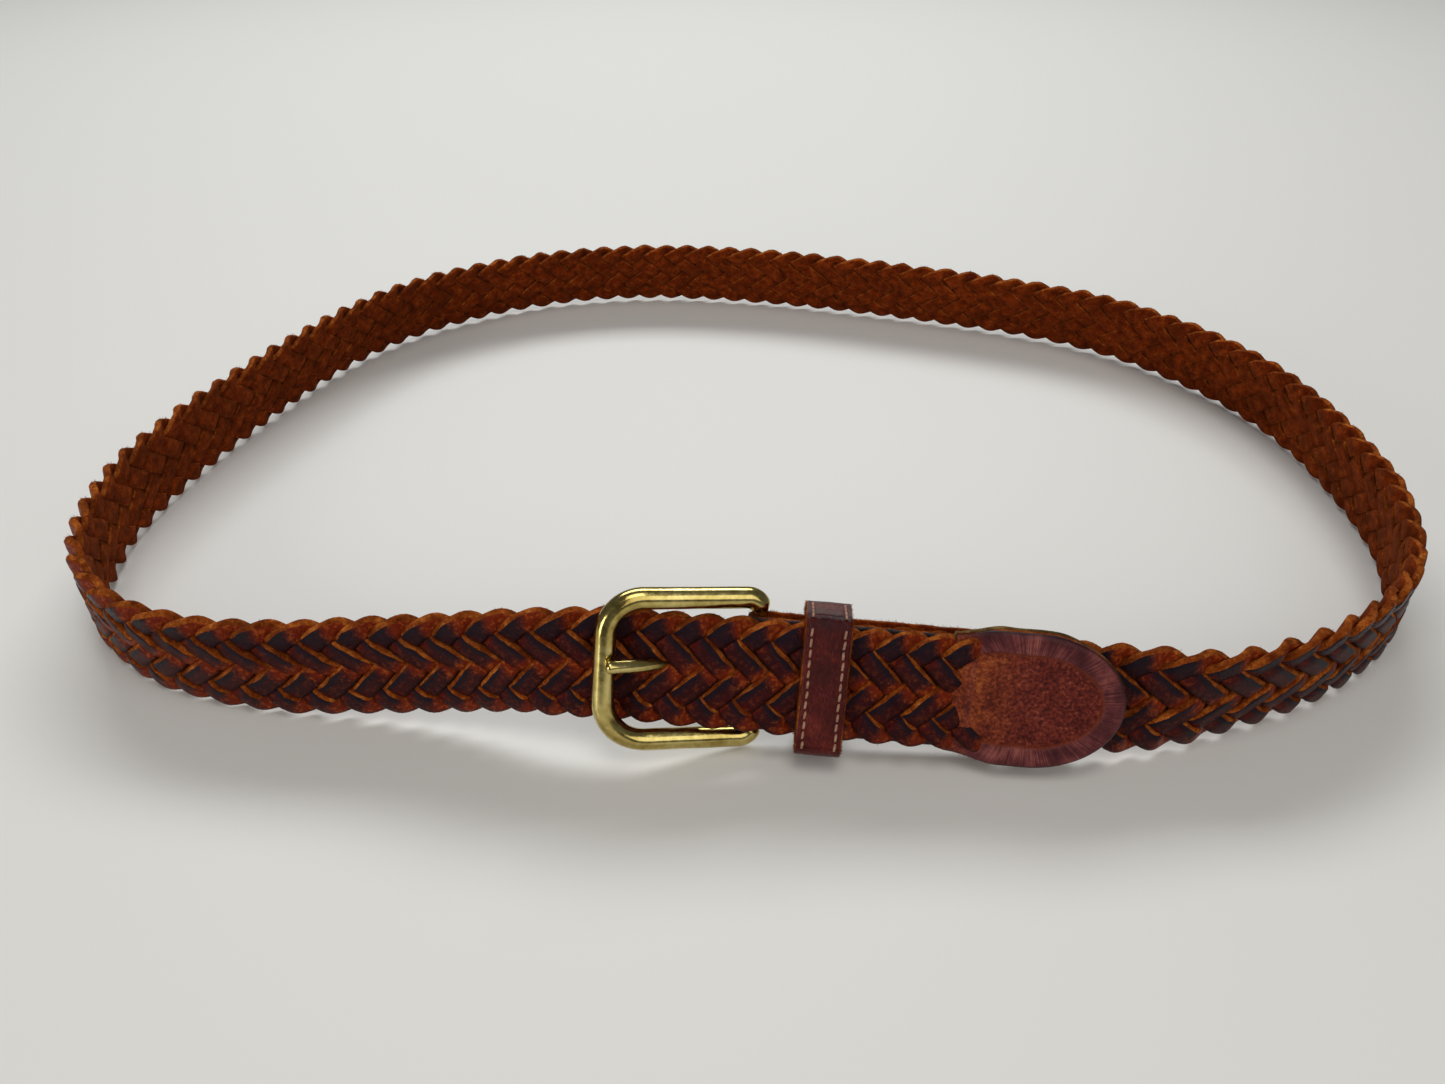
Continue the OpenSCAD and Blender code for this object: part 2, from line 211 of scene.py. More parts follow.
# heights over one cycle: boundaries where a lace changes layer (in cycles)
_e = 1.5 / 14
BOUND = np.array([0, 0.107, 0.25, 0.393, 0.5, 0.607, 0.75, 0.893, 1.0])
SIGN = np.array([-1, 1, -1, 1, -1, 1, -1, 1])
_cc = (np.arange(4096) + 0.5) / 4096
_hh = SIGN[np.searchsorted(BOUND, _cc, side="right") - 1].astype(float)
_k = np.hanning(int(4096*0.085)); _k /= _k.sum()
_hs = np.convolve(np.tile(_hh, 3), _k, "same")[4096:8192]
def layer(c):
    return np.interp(c % 1.0, _cc, _hs, period=1.0)
_kw = np.hanning(int(4096*0.17)); _kw /= _kw.sum()
_hw = np.convolve(np.tile(_hh, 3), _kw, "same")[4096:8192]
def layer_wide(c):
    return np.interp(c % 1.0, _cc, _hw, period=1.0)

SECT = np.array([
    (-0.975, 0.45), (-0.93, 0.74), (-0.80, 0.90), (-0.45, 0.985), (0.0, 1.0), (0.45, 0.985), (0.80, 0.90), (0.93, 0.74),
    (0.975, 0.45), (1.0, -0.05), (0.995, -0.80), (0.95, -1.0), (0.35, -1.0), (-0.35, -1.0), (-0.95, -1.0), (-0.995, -0.80), (-1.0, -0.05)])
N_SEC = len(SECT)
# on the side that looks up the strap the cut edge is a wide slope; on the other it rolls under
_side_up = [(0.36, 0.975), (0.54, 0.955), (0.645, 0.93), (0.705, 0.87), (0.93, 0.40), (1.0, -0.62)]
_side_lo = [(0.45, 0.975), (0.78, 0.86), (0.94, 0.62), (0.99, 0.25), (1.0, -0.20), (0.99, -0.82)]
SEC_UP, SEC_LO = SECT.copy(), SECT.copy()
for tab, dst in ((_side_up, SEC_UP), (_side_lo, SEC_LO)):
    for q, (u_, v_) in zip((5, 6, 7, 8, 9, 10), tab):
        dst[q] = (u_, v_)
    for q, (u_, v_) in zip((3, 2, 1, 0, 16, 15), tab):
        dst[q] = (-u_, v_)
# face strip j joins section points j and j+1
STRIP_MAT = [0]*8 + [1]*3 + [2]*3 + [1]*3      # grain, raw edge, flesh, raw edge

def thin_at(s):
    """The plait is pressed thinner inside the billet."""
    return 0.75 + 0.25*smooth01((s - S_ROOT(60)) / 8)

def lace_mesh(name, k, s0, s1, mats, ds=0.7, cap=True, fuzz=3.2):
    n = max(8, int((s1 - s0)/ds))
    ds = (s1 - s0)/(n - 1)
    s = np.linspace(s0 - 3*ds, s1 + 3*ds, n + 6)
    n = n + 6
    c = np.interp(s, PS, PHI) + k/7.0
    pitch = np.interp(s, PS, _pp)
    w = lateral(c)*(1 - 0.045*(1 - smooth01((s - S_ROOT(60)) / 8))) + 0.12*vnoise(s, 100+k, 23)
    lay = layer(c)
    press = thin_at(s)
    hh = H_LACE*press
    amp = (STRAP_T/2*press - hh)
    off = lay*amp*1.0 + 0.05*vnoise(s, 200+k, 17)
    # the ends of the laces run down into the tip tab
    sink = smooth01((s - S_FREE(45.0) - 10.5*np.clip(np.abs(w)/12.5, 0, 1)**2.2) / 5.5)
    off = off - 2.1*sink*(1 + 0.25*(1 - np.clip(np.abs(w)/12.0, 0, 1)))
    C, U, O = path_at(s)
    P = C + U*w[:, None] + O*off[:, None]
    t = np.gradient(P, axis=0); t /= np.linalg.norm(t, axis=1)[:, None]
    b = O - (O*t).sum(1)[:, None]*t; b /= np.linalg.norm(b, axis=1)[:, None]
    a = np.cross(b, t)
    # a small roll, so that the laces lie like shingles
    roll = np.radians(2.5*vnoise(s, 300+k, 31))
    a, b = a*np.cos(roll)[:, None] + b*np.sin(roll)[:, None], b*np.cos(roll)[:, None] - a*np.sin(roll)[:, None]
    slope = np.abs(np.gradient(w, s))
    ang = np.arctan(slope)
    full = np.minimum(pitch*np.sin(np.arctan(4*W0/(7*pitch)))*1.0, 5.9)
    half = full/2*(1 + 0.05*vnoise(s, 400+k, 13))*(1 - 0.25*sink)
    hh = hh*(1 - 0.35*sink)
    verts = np.zeros((n, N_SEC, 3))
    rag = np.stack([vnoise(s, 500+k*40+j, 1.3)*0.13 + vnoise(s, 900+k*40+j, 0.75)*0.08 for j in range(N_SEC)], 1)
    soft = np.stack([vnoise(s, 1300+k*40+j, 4.0)*0.04 for j in range(N_SEC)], 1)
    ups = (a*U).sum(1)
    ups = np.clip(ups/0.35, -1, 1)
    for j, (u0, v0) in enumerate(SECT):
        # how much this point is on the side that looks up the strap
        k_up = 0.5 + 0.5*ups*np.sign(u0) if u0 != 0 else np.full(n, 0.5)
        k_up = k_up*np.clip(0.80 + 0.26*vnoise(s, 3300 + k, 3.1) + 0.14*vnoise(s, 3400 + k, 1.0), 0.35, 1.1)
        u = SEC_LO[j][0]*(1-k_up) + SEC_UP[j][0]*k_up
        v = SEC_LO[j][1]*(1-k_up) + SEC_UP[j][1]*k_up
        edge = abs(u0) > 0.97
        aa = u*half + (np.sign(u0)*rag[:, j]*(0.35 + 0.65*k_up) if edge else 0)
        tilt = 0.24*u*ups*(0.5 + 0.5*lay)          # laid like shingles, upper side proud
        bb = v*hh + tilt + (0.8*rag[:, j]*k_up if edge else soft[:, j]*(1 if v0 > 0 else 0.5))
        verts[:, j] = P + a*aa[:, None] + b*bb[:, None]
    # how near a point is to the strap's outer crown, and the lace's own measures
    along = np.concatenate([[0], np.cumsum(np.linalg.norm(np.diff(P, axis=0), axis=1))]) + k*331.0 + s0*1.7
    keep_ = slice(3, n-3)
    verts, P, lay, a, b, U, w, s, along, half = (q[keep_] for q in (verts, P, lay, a, b, U, w, s, along, half))
    ups, hh = ups[keep_], (hh[keep_] if np.ndim(hh) else hh)
    n = n - 6
    cshift = np.interp(s, PS, PHI) + k/7.0
    mid = np.clip(0.5 + 0.62*layer_wide(cshift + 0.017), 0, 1)
    hgt = np.repeat(((lay+1)/2)[:, None], N_SEC, 1)
    uo = np.repeat(SECT[:, 0][None], n, 0)
    # which edge of the lace looks up the strap
    upper = (a*U).sum(1)
    uo = uo*np.sign(upper)[:, None]
    rowpos = np.repeat((w/15)[:, None], N_SEC, 1)
    idx = np.arange(n*N_SEC).reshape(n, N_SEC)
    i0, i1 = idx[:-1], idx[1:]
    q = np.stack([i0, np.roll(i0, -1, 1), np.roll(i1, -1, 1), i1], -1).reshape(-1, 4)
    mi = np.tile(STRIP_MAT, n-1)
    faces = q.tolist()
    mats_i = mi.tolist()
    if cap:
        faces.append(idx[0][::-1].tolist()); mats_i.append(1)
        faces.append(idx[-1].tolist()); mats_i.append(1)
    vv = np.arange(N_SEC)*1.0
    per = np.concatenate([[0], np.cumsum(np.linalg.norm(np.diff(SECT*np.array([2.9, 1.06]), axis=0), axis=1))])
    uvv = np.stack([np.repeat(along[:, None], N_SEC, 1)*0.01, np.repeat(per[None], n, 0)*0.01], -1).reshape(-1, 2)
    ob = new_object(name, verts.reshape(-1, 3), faces, mats, mats_i, uvv,
                    {"hgt": hgt.ravel(), "upe": uo.ravel(), "rowpos": rowpos.ravel(), "mid": np.repeat(mid[:, None], N_SEC, 1).ravel()})
    # flip check: outward normals
    me = ob.data
    bm = bmesh.new(); bm.from_mesh(me)
    flip = bm.calc_volume(signed=True) < 0
    if flip:
        bmesh.ops.reverse_faces(bm, faces=bm.faces)
    for f in bm.faces:
        if len(f.verts) > 4:
            f.smooth = False
            for e in f.edges: e.smooth = False
    bm.to_mesh(me)
    bm.free()
    if fuzz:
        # loose fibres on the cut edge that looks up the strap, and a few on the other
        r = np.random.default_rng(7000 + k*10 + int(s0) % 7)
        cnt = int((s1 - s0)*fuzz)
        i = r.integers(0, n, cnt)
        up_side = np.where(r.random(cnt) < 0.82, 1.0, -1.0)
        sd = np.sign(ups[i])*up_side
        sd[sd == 0] = 1
        uu = r.uniform(0.80, 1.0, cnt)
        hloc = hh[i] if np.ndim(hh) else np.full(cnt, hh)
        vv = np.where(up_side > 0, (0.87 - (uu - 0.70)/0.30*1.3), r.uniform(-0.7, 0.2, cnt))
        base = P[i] + a[i]*(sd*uu*half[i])[:, None] + b[i]*(vv*hloc + 0.22*up_side*uu*(0.5+0.5*lay[i]))[:, None]
        dr = a[i]*(sd*1.0)[:, None] + b[i]*r.normal(0.25, 0.5, cnt)[:, None]
        add_fuzz(ob, base, dr, 0.80, 0.050, 7100 + k*10 + int(s0) % 7, 1, 0.45)
    return ob

# ------------------------------------------------------------------ materials
def mat(name):
    m = bpy.data.materials.new(name)
    m.use_nodes = True
    nt = m.node_tree
    bsdf = nt.nodes["Principled BSDF"]
    return m, nt, bsdf
def node(nt, kind, **kw):
    n = nt.nodes.new(kind)
    for k, v in kw.items():
        if k.startswith("i_"):
            n.inputs[k[2:].replace("_", " ")].default_value = v
        else:
            setattr(n, k, v)
    return n
def ramp(nt, src, stops, interp="LINEAR"):
    r = nt.nodes.new("ShaderNodeValToRGB")
    r.color_ramp.interpolation = interp
    while len(r.color_ramp.elements) < len(stops):
        r.color_ramp.elements.new(0.5)
    for e, (p, c) in zip(r.color_ramp.elements, stops):
        e.position = p
        e.color = (c, c, c, 1) if isinstance(c, (int, float)) else (*c, 1)
    nt.links.new(src, r.inputs["Fac"])
    return r.outputs["Color"]
def noise(nt, vec, scale, detail=4, rough=0.55, dist=0.0, out="Fac"):
    n = nt.nodes.new("ShaderNodeTexNoise")
    n.inputs["Scale"].default_value = scale
    n.inputs["Detail"].default_value = detail
    n.inputs["Roughness"].default_value = rough
    n.inputs["Distortion"].default_value = dist
    nt.links.new(vec, n.inputs["Vector"])
    return n.outputs[out]
def math_(nt, op, a, b=None, clamp=False):
    n = nt.nodes.new("ShaderNodeMath"); n.operation = op; n.use_clamp = clamp
    for i, x in enumerate([a, b]):
        if x is None: continue
        if isinstance(x, (int, float)): n.inputs[i].default_value = x
        else: nt.links.new(x, n.inputs[i])
    return n.outputs[0]
def mix(nt, fac, a, b, blend="MIX"):
    n = nt.nodes.new("ShaderNodeMix"); n.data_type = "RGBA"; n.blend_type = blend
    n.clamp_factor = True
    for sock, x in ((n.inputs[0], fac), (n.inputs[6], a), (n.inputs[7], b)):
        if isinstance(x, (int, float)): sock.default_value = x
        elif isinstance(x, tuple): sock.default_value = (*x, 1)
        else: nt.links.new(x, sock)
    return n.outputs[2]
def bump(nt, height, strength, dist, prev=None):
    b = nt.nodes.new("ShaderNodeBump")
    b.inputs["Strength"].default_value = strength
    b.inputs["Distance"].default_value = dist
    nt.links.new(height, b.inputs["Height"])
    if prev is not None: nt.links.new(prev, b.inputs["Normal"])
    return b.outputs["Normal"]
def attr(nt, name, out="Fac"):
    a = nt.nodes.new("ShaderNodeAttribute"); a.attribute_name = name
    return a.outputs[out]
def coords(nt, kind="Object"):
    return nt.nodes.new("ShaderNodeTexCoord").outputs[kind]
def stretch(nt, vec, sx, sy, sz):
    m = nt.nodes.new("ShaderNodeMapping"); m.inputs["Scale"].default_value = (sx, sy, sz)
    nt.links.new(vec, m.inputs["Vector"])
    return m.outputs["Vector"]

def grain_material():
    m, nt, bs = mat("lace_grain")
    ob, uv = coords(nt), coords(nt, "UV")
    h = attr(nt, "hgt")
    n1 = noise(nt, ob, 130, 4, 0.6)
    n2 = noise(nt, ob, 700, 5, 0.6)
    hb = math_(nt, "ADD", h, math_(nt, "MULTIPLY", math_(nt, "SUBTRACT", n1, 0.5), 0.9), True)
    base = ramp(nt, hb, [(0.0, (0.150, 0.0120, 0.0022)), (0.35, (0.105, 0.0074, 0.0024)), (0.68, (0.066, 0.0050, 0.0034)), (1.0, (0.030, 0.0040, 0.0048))])
    worn = ramp(nt, noise(nt, ob, 800, 6, 0.72), [(0.50, 0.0), (0.62, 1.0)])
    low = ramp(nt, h, [(0.15, 1.0), (0.90, 0.0)])
    md = attr(nt, "mid")
    ends = ramp(nt, math_(nt, "ADD", md, math_(nt, "MULTIPLY", math_(nt, "SUBTRACT", n1, 0.5), 0.5)), [(0.42, 1.0), (0.80, 0.0)])
    base = mix(nt, math_(nt, "MULTIPLY", ends, 0.80), base, (0.185, 0.0180, 0.0028))
    low = ramp(nt, md, [(0.35, 1.0), (0.95, 0.0)])
    base = mix(nt, math_(nt, "MULTIPLY", worn, math_(nt, "ADD", math_(nt, "MULTIPLY", low, 0.72), 0.16)), base, (0.40, 0.080, 0.0100))
    # burnished towards the lace's upper side, painted blue-black there, the blue a painted window reflection; painted
    # shade darkens its lower side
    u = attr(nt, "upe")
    line = math_(nt, "MULTIPLY", ramp(nt, u, [(0.02, 0.0), (0.62, 1.0)]), ramp(nt, md, [(0.45, 0.0), (0.85, 1.0)]))
    base = mix(nt, math_(nt, "MULTIPLY", line, 0.90), base, (0.0085, 0.0060, 0.0105))
    # the top-row crowns are painted blue-black: a darker burnish with a painted bluish window sheen
    crown = math_(nt, "MULTIPLY", ramp(nt, attr(nt, "rowpos"), [(0.50, 0.0), (0.62, 1.0)]), ramp(nt, md, [(0.55, 0.0), (0.88, 1.0)]))
    base = mix(nt, math_(nt, "MULTIPLY", crown, 0.65), base, (0.0100, 0.0065, 0.0110))
    # painted shade: the lace's lower side, where it tucks under the next lace, is darkened to near-black red
    dark = math_(nt, "MULTIPLY", ramp(nt, math_(nt, "MULTIPLY", u, -1.0), [(0.55, 0.0), (0.93, 1.0)]), 0.72)
    base = mix(nt, dark, base, (0.0100, 0.0015, 0.0008))
    nt.links.new(base, bs.inputs["Base Color"])
    r = ramp(nt, math_(nt, "ADD", math_(nt, "MULTIPLY", n2, 0.35), math_(nt, "MULTIPLY", n1, 0.2)), [(0.05, 0.24), (0.5, 0.44)])
    r2 = mix(nt, crown, r, (0.22, 0.22, 0.22))
    nt.links.new(r2, bs.inputs["Roughness"])
    bs.inputs["Specular IOR Level"].default_value = 0.085
    bs.inputs["Specular Tint"].default_value = (1.0, 0.80, 0.88, 1)
    # creases across the lace, wrinkles and the fine grain
    uvs = stretch(nt, uv, 100, 28, 1)
    cre = noise(nt, uvs, 2.6, 4, 0.55, 0.6)
    wrk = noise(nt, stretch(nt, uv, 130, 60, 1), 5.5, 4, 0.6, 1.2)
    fine = noise(nt, ob, 1900, 4, 0.6)
    nb = bump(nt, cre, 0.62, 0.0006)
    nb = bump(nt, wrk, 0.60, 0.00034, nb)
    nb = bump(nt, fine, 0.45, 0.00016, nb)
    nt.links.new(nb, bs.inputs["Normal"])
    return m
def raw_material(name, dark, light, speck, patch=0.6):
    m, nt, bs = mat(name)
    ob = coords(nt)
    n0 = noise(nt, ob, 95, 3, 0.6)
    n1 = noise(nt, ob, 330, 5, 0.65)
    n2 = noise(nt, ob, 1500, 5, 0.7)
    v = math_(nt, "ADD", math_(nt, "MULTIPLY", n1, 0.55), math_(nt, "MULTIPLY", n2, 0.45))
    base = ramp(nt, v, [(0.36, dark), (0.51, light), (0.66, speck)])
    soil = ramp(nt, math_(nt, "ADD", math_(nt, "MULTIPLY", n0, 0.6), math_(nt, "MULTIPLY", n1, 0.4)), [(0.42, 1.0), (0.60, 0.0)])
    base = mix(nt, math_(nt, "MULTIPLY", soil, patch), base, tuple(c*0.75 for c in dark))
    nt.links.new(base, bs.inputs["Base Color"])
    bs.inputs["Roughness"].default_value = 0.95
    bs.inputs["Specular IOR Level"].default_value = 0.05
    bs.inputs["Sheen Weight"].default_value = 0.08
    bs.inputs["Sheen Roughness"].default_value = 0.5
    bs.inputs["Sheen Tint"].default_value = (0.9, 0.40, 0.12, 1)
    nb = bump(nt, n1, 0.8, 0.0007)
    nt.links.new(bump(nt, n2, 1.0, 0.0005, nb), bs.inputs["Normal"])
    return m
M_GRAIN = grain_material()
M_EDGE = raw_material("lace_raw_edge", (0.090, 0.0120, 0.0015), (0.300, 0.062, 0.0070), (0.54, 0.175, 0.030), 0.6)
M_FLESH = raw_material("lace_flesh", (0.055, 0.0065, 0.0007), (0.178, 0.0215, 0.0016), (0.32, 0.056, 0.0060), 0.40)
LACE_MATS = [M_GRAIN, M_EDGE, M_FLESH]

# ------------------------------------------------------------------ general sweeps and fuzz
def ring_faces(n, m, closed=False, strip_mat=None, cap=True, cap_mat=0):
    idx = np.arange(n*m).reshape(n, m)
    i0 = idx if closed else idx[:-1]
    i1 = np.roll(idx, -1, 0) if closed else idx[1:]
    q = np.stack([i0, np.roll(i0, -1, 1), np.roll(i1, -1, 1), i1], -1).reshape(-1, 4)
    mi = np.tile(strip_mat if strip_mat is not None else np.zeros(m, int), len(i0)).tolist()
    faces = q.tolist()
    if cap and not closed:
        faces += [idx[0][::-1].tolist(), idx[-1].tolist()]; mi += [cap_mat]*2
    return faces, mi

def outward(ob):
    """Turns every shell's faces outwards."""
    bm = bmesh.new(); bm.from_mesh(ob.data)
    bmesh.ops.recalc_face_normals(bm, faces=bm.faces)
    if bm.calc_volume(signed=True) < 0:
        bmesh.ops.reverse_faces(bm, faces=bm.faces)
    bm.to_mesh(ob.data); bm.free()
    return ob

def sweep(name, path, side, sect, mats, strip_mat=None, closed=False, cap=True, ra=None, rb=None, uvscale=1.0, to_row=True):
    """path (n,3) and side (n,3) in the buckle frame; sect (m,2) is (along side, along the third axis)."""
    path, side = np.asarray(path, float), np.asarray(side, float)
    if closed:
        t = np.roll(path, -1, 0) - np.roll(path, 1, 0)
    else:
        t = np.gradient(path, axis=0)
    t /= np.linalg.norm(t, axis=1)[:, None]
    a = side - (side*t).sum(1)[:, None]*t; a /= np.linalg.norm(a, axis=1)[:, None]
    b = np.cross(t, a)
    n, m = len(path), len(sect)
    ra = np.ones(n) if ra is None else np.asarray(ra); rb = ra if rb is None else np.asarray(rb)
    sect = np.asarray(sect, float)
    V = path[:, None] + a[:, None]*(sect[None, :, 0:1]*ra[:, None, None]) + b[:, None]*(sect[None, :, 1:2]*rb[:, None, None])
    faces, mi = ring_faces(n, m, closed, strip_mat, cap)
    along = np.concatenate([[0], np.cumsum(np.linalg.norm(np.diff(path, axis=0), axis=1))])
    per = np.concatenate([[0], np.cumsum(np.linalg.norm(np.diff(sect, axis=0), axis=1))])
    uv = np.stack([np.repeat(along[:, None], m, 1)*0.01, np.repeat(per[None]*uvscale, n, 0)*0.01], -1).reshape(-1, 2)
    V = V.reshape(-1, 3)
    ob = new_object(name, g(V) if to_row else V, faces, mats, mi, uv)
    outward(ob)
    return ob

def circle_sect(n):
    a = np.arange(n)*2*math.pi/n
    return np.stack([np.cos(a), np.sin(a)], 1)

def fuzz_mesh(base, direc, length, radius, seed, curl=0.5):
    """Small tapered fibres: base and direction (n,3) in mm -> verts, faces."""
    r = np.random.default_rng(seed)
    n = len(base)
    d = direc + r.normal(0, curl, (n, 3)); d /= np.linalg.norm(d, axis=1)[:, None]
    e = r.normal(0, 1, (n, 3)); e -= (e*d).sum(1)[:, None]*d; e /= np.linalg.norm(e, axis=1)[:, None]
    f = np.cross(d, e)
    L = length*(0.45 + 0.9*r.random(n)**1.6)
    bend = r.uniform(-0.55, 0.55, n)
    cent = [base - d*0.15, base + d*(L*0.5)[:, None] + e*(L*bend*0.16)[:, None], base + d*(L*0.97)[:, None] + e*(L*bend*0.55)[:, None]]
    rad = [radius*1.25, radius*0.9, radius*0.35]
    V = []
    for c, q in zip(cent, rad):
        for k in range(3):
            an = k*2*math.pi/3
            V.append(c + (e*math.cos(an) + f*math.sin(an))*q)
    V = np.stack(V, 1).reshape(-1, 3)
    b = np.arange(n)[:, None]*9
    faces = []
    quads = [(0, 1, 4, 3), (1, 2, 5, 4), (2, 0, 3, 5), (3, 4, 7, 6), (4, 5, 8, 7), (5, 3, 6, 8)]
    Q = np.concatenate([b + np.array(q)[None] for q in quads], 0)
    T = np.concatenate([b + np.array([2, 1, 0])[None], b + np.array([6, 7, 8])[None]], 0)
    return V, Q, T

def add_fuzz(ob, base, direc, length, radius, seed, mat_index, curl=0.5):
    """Joins raw fibres to a piece (mm, row frame), so that they move with it."""
    V, Q, T = fuzz_mesh(base, direc, length, radius, seed, curl)
    me = ob.data
    nv = len(me.vertices)
    co = np.empty(nv*3); me.vertices.foreach_get("co", co)
    at = {}
    for a_ in me.attributes:
        if a_.data_type == "FLOAT" and a_.domain == "POINT" and not a_.is_internal:
            v = np.empty(nv); a_.data.foreach_get("value", v); at[a_.name] = v
    nl = len(me.loops)
    lv = np.empty(nl, np.int32); me.loops.foreach_get("vertex_index", lv)
    uvl = np.zeros(nl*2, np.float32)
    if me.uv_layers: me.uv_layers[0].data.foreach_get("uv", uvl)
    ls = np.empty(len(me.polygons), np.int32); me.polygons.foreach_get("loop_start", ls)
    lt = np.empty(len(me.polygons), np.int32); me.polygons.foreach_get("loop_total", lt)
    mi = np.empty(len(me.polygons), np.int32); me.polygons.foreach_get("material_index", mi)
    faces = [lv[s_:s_+t_].tolist() for s_, t_ in zip(ls, lt)]
    faces += (Q + nv).tolist() + (T + nv).tolist()
    mi = np.concatenate([mi, np.full(len(Q) + len(T), mat_index)])
    mats = [m_ for m_ in me.materials]
    verts = np.concatenate([co.reshape(-1, 3)/MM, V], 0)
    uv = np.concatenate([uvl.reshape(-1, 2), np.zeros((len(Q)*4 + len(T)*3, 2))], 0)
    name = me.name
    new = bpy.data.meshes.new(name + "_f")
    new.from_pydata((verts*MM).tolist(), [], faces)
    for m_ in mats: new.materials.append(m_)
    new.polygons.foreach_set("material_index", mi.astype(np.int32))
    new.polygons.foreach_set("use_smooth", np.ones(len(new.polygons), bool))
    new.uv_layers.new(name="UVMap").data.foreach_set("uv", uv.astype(np.float32).ravel())
    for k_, v in at.items():
        z = new.attributes.new(k_, "FLOAT", "POINT")
        z.data.foreach_set("value", np.concatenate([v, np.full(len(V), 0.6)]).astype(np.float32))
    new.update()
    ob.data = new
    bpy.data.meshes.remove(me)
    new.name = name
    return ob

# ------------------------------------------------------------------ laces
CUT_X = 34.0
for k in range(7):
    a = lace_mesh("lace_%d_root_side" % (k+1), k, 0.3, S_SPLIT, LACE_MATS)
    b = lace_mesh("lace_%d_free_side" % (k+1), k, S_SPLIT, S_FREE(CUT_X), LACE_MATS)
    c = lace_mesh("lace_%d_tail" % (k+1), k, S_FREE(CUT_X), S_FREE(62.0), LACE_MATS)
    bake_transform(a, "root", "left_bend", (0.090, 0.110, 0), (0.090-0.8*0.150, 0.110+0.6*0.150, 0))
    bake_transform(b, "left_bend", "free_end", (-0.175, -0.095, 0), (-0.175+0.8*0.115, -0.095-0.6*0.115, 0))
    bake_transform(c, "free_end", "tip", (g([44.5, FREE_Y, 0])*MM).tolist(), (g([52, FREE_Y, 0])*MM).tolist())
    if k == 0:
        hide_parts("braid_right", "braid_back")
        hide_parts("braid_left_bend", "braid_front_left", "braid_buckle_run")


# ------------------------------------------------------------------ more materials
def brass_material():
    m, nt, bs = mat("aged_brass")
    ob = coords(nt)
    n1 = noise(nt, ob, 90, 5, 0.6)
    n2 = noise(nt, ob, 700, 4, 0.6)
    v = math_(nt, "ADD", math_(nt, "MULTIPLY", n1, 0.65), math_(nt, "MULTIPLY", n2, 0.35))
    base = ramp(nt, v, [(0.28, (0.23, 0.150, 0.032)), (0.47, (0.49, 0.380, 0.115)), (0.66, (0.74, 0.62, 0.255))])
    spots = ramp(nt, noise(nt, ob, 420, 6, 0.75), [(0.635, 0.0), (0.70, 1.0)])
    base = mix(nt, math_(nt, "MULTIPLY", spots, 0.55), base, (0.13, 0.085, 0.028))
    nt.links.new(base, bs.inputs["Base Color"])
    bs.inputs["Metallic"].default_value = 1.0
    r = ramp(nt, n2, [(0.3, 0.13), (0.7, 0.23)])
    nt.links.new(r, bs.inputs["Roughness"])
    nb = bump(nt, noise(nt, ob, 200, 3, 0.5), 0.10, 0.00030)
    nb = bump(nt, noise(nt, stretch(nt, ob, 900, 900, 900), 2.2, 3, 0.6), 0.06, 0.00004, nb)
    nt.links.new(nb, bs.inputs["Normal"])
    return m

def smooth_leather(name, c0, c1, c2, r0=0.24, r1=0.42, scale=160, spec=0.5, crease=0.5, worn=None, su=60, sv=140):
    m, nt, bs = mat(name)
    ob, uv = coords(nt), coords(nt, "UV")
    n1 = noise(nt, ob, scale, 5, 0.6, 0.3)
    n2 = noise(nt, stretch(nt, uv, su, sv, 1), 2.0, 5, 0.6, 0.6)
    v = math_(nt, "ADD", math_(nt, "MULTIPLY", n1, 0.55), math_(nt, "MULTIPLY", n2, 0.45))
    base = ramp(nt, v, [(0.34, c0), (0.50, c1), (0.66, c2)])
    if worn is not None:
        w_ = ramp(nt, noise(nt, ob, 1300, 6, 0.75), [(0.60, 0.0), (0.70, 1.0)])
        base = mix(nt, math_(nt, "MULTIPLY", w_, 0.45), base, worn)
    nt.links.new(base, bs.inputs["Base Color"])
    nt.links.new(ramp(nt, v, [(0.3, r0), (0.7, r1)]), bs.inputs["Roughness"])
    bs.inputs["Specular IOR Level"].default_value = spec
    nb = bump(nt, n2, crease, 0.0004)
    vor = nt.nodes.new("ShaderNodeTexVoronoi"); vor.feature = "DISTANCE_TO_EDGE"
    vor.inputs["Scale"].default_value = 1500
    nt.links.new(ob, vor.inputs["Vector"])
    nb = bump(nt, ramp(nt, vor.outputs["Distance"], [(0.0, 0.0), (0.18, 1.0)]), 0.12, 0.00008, nb)
    nb = bump(nt, noise(nt, ob, 2200, 4, 0.6), 0.2, 0.0001, nb)
    nt.links.new(nb, bs.inputs["Normal"])
    return m

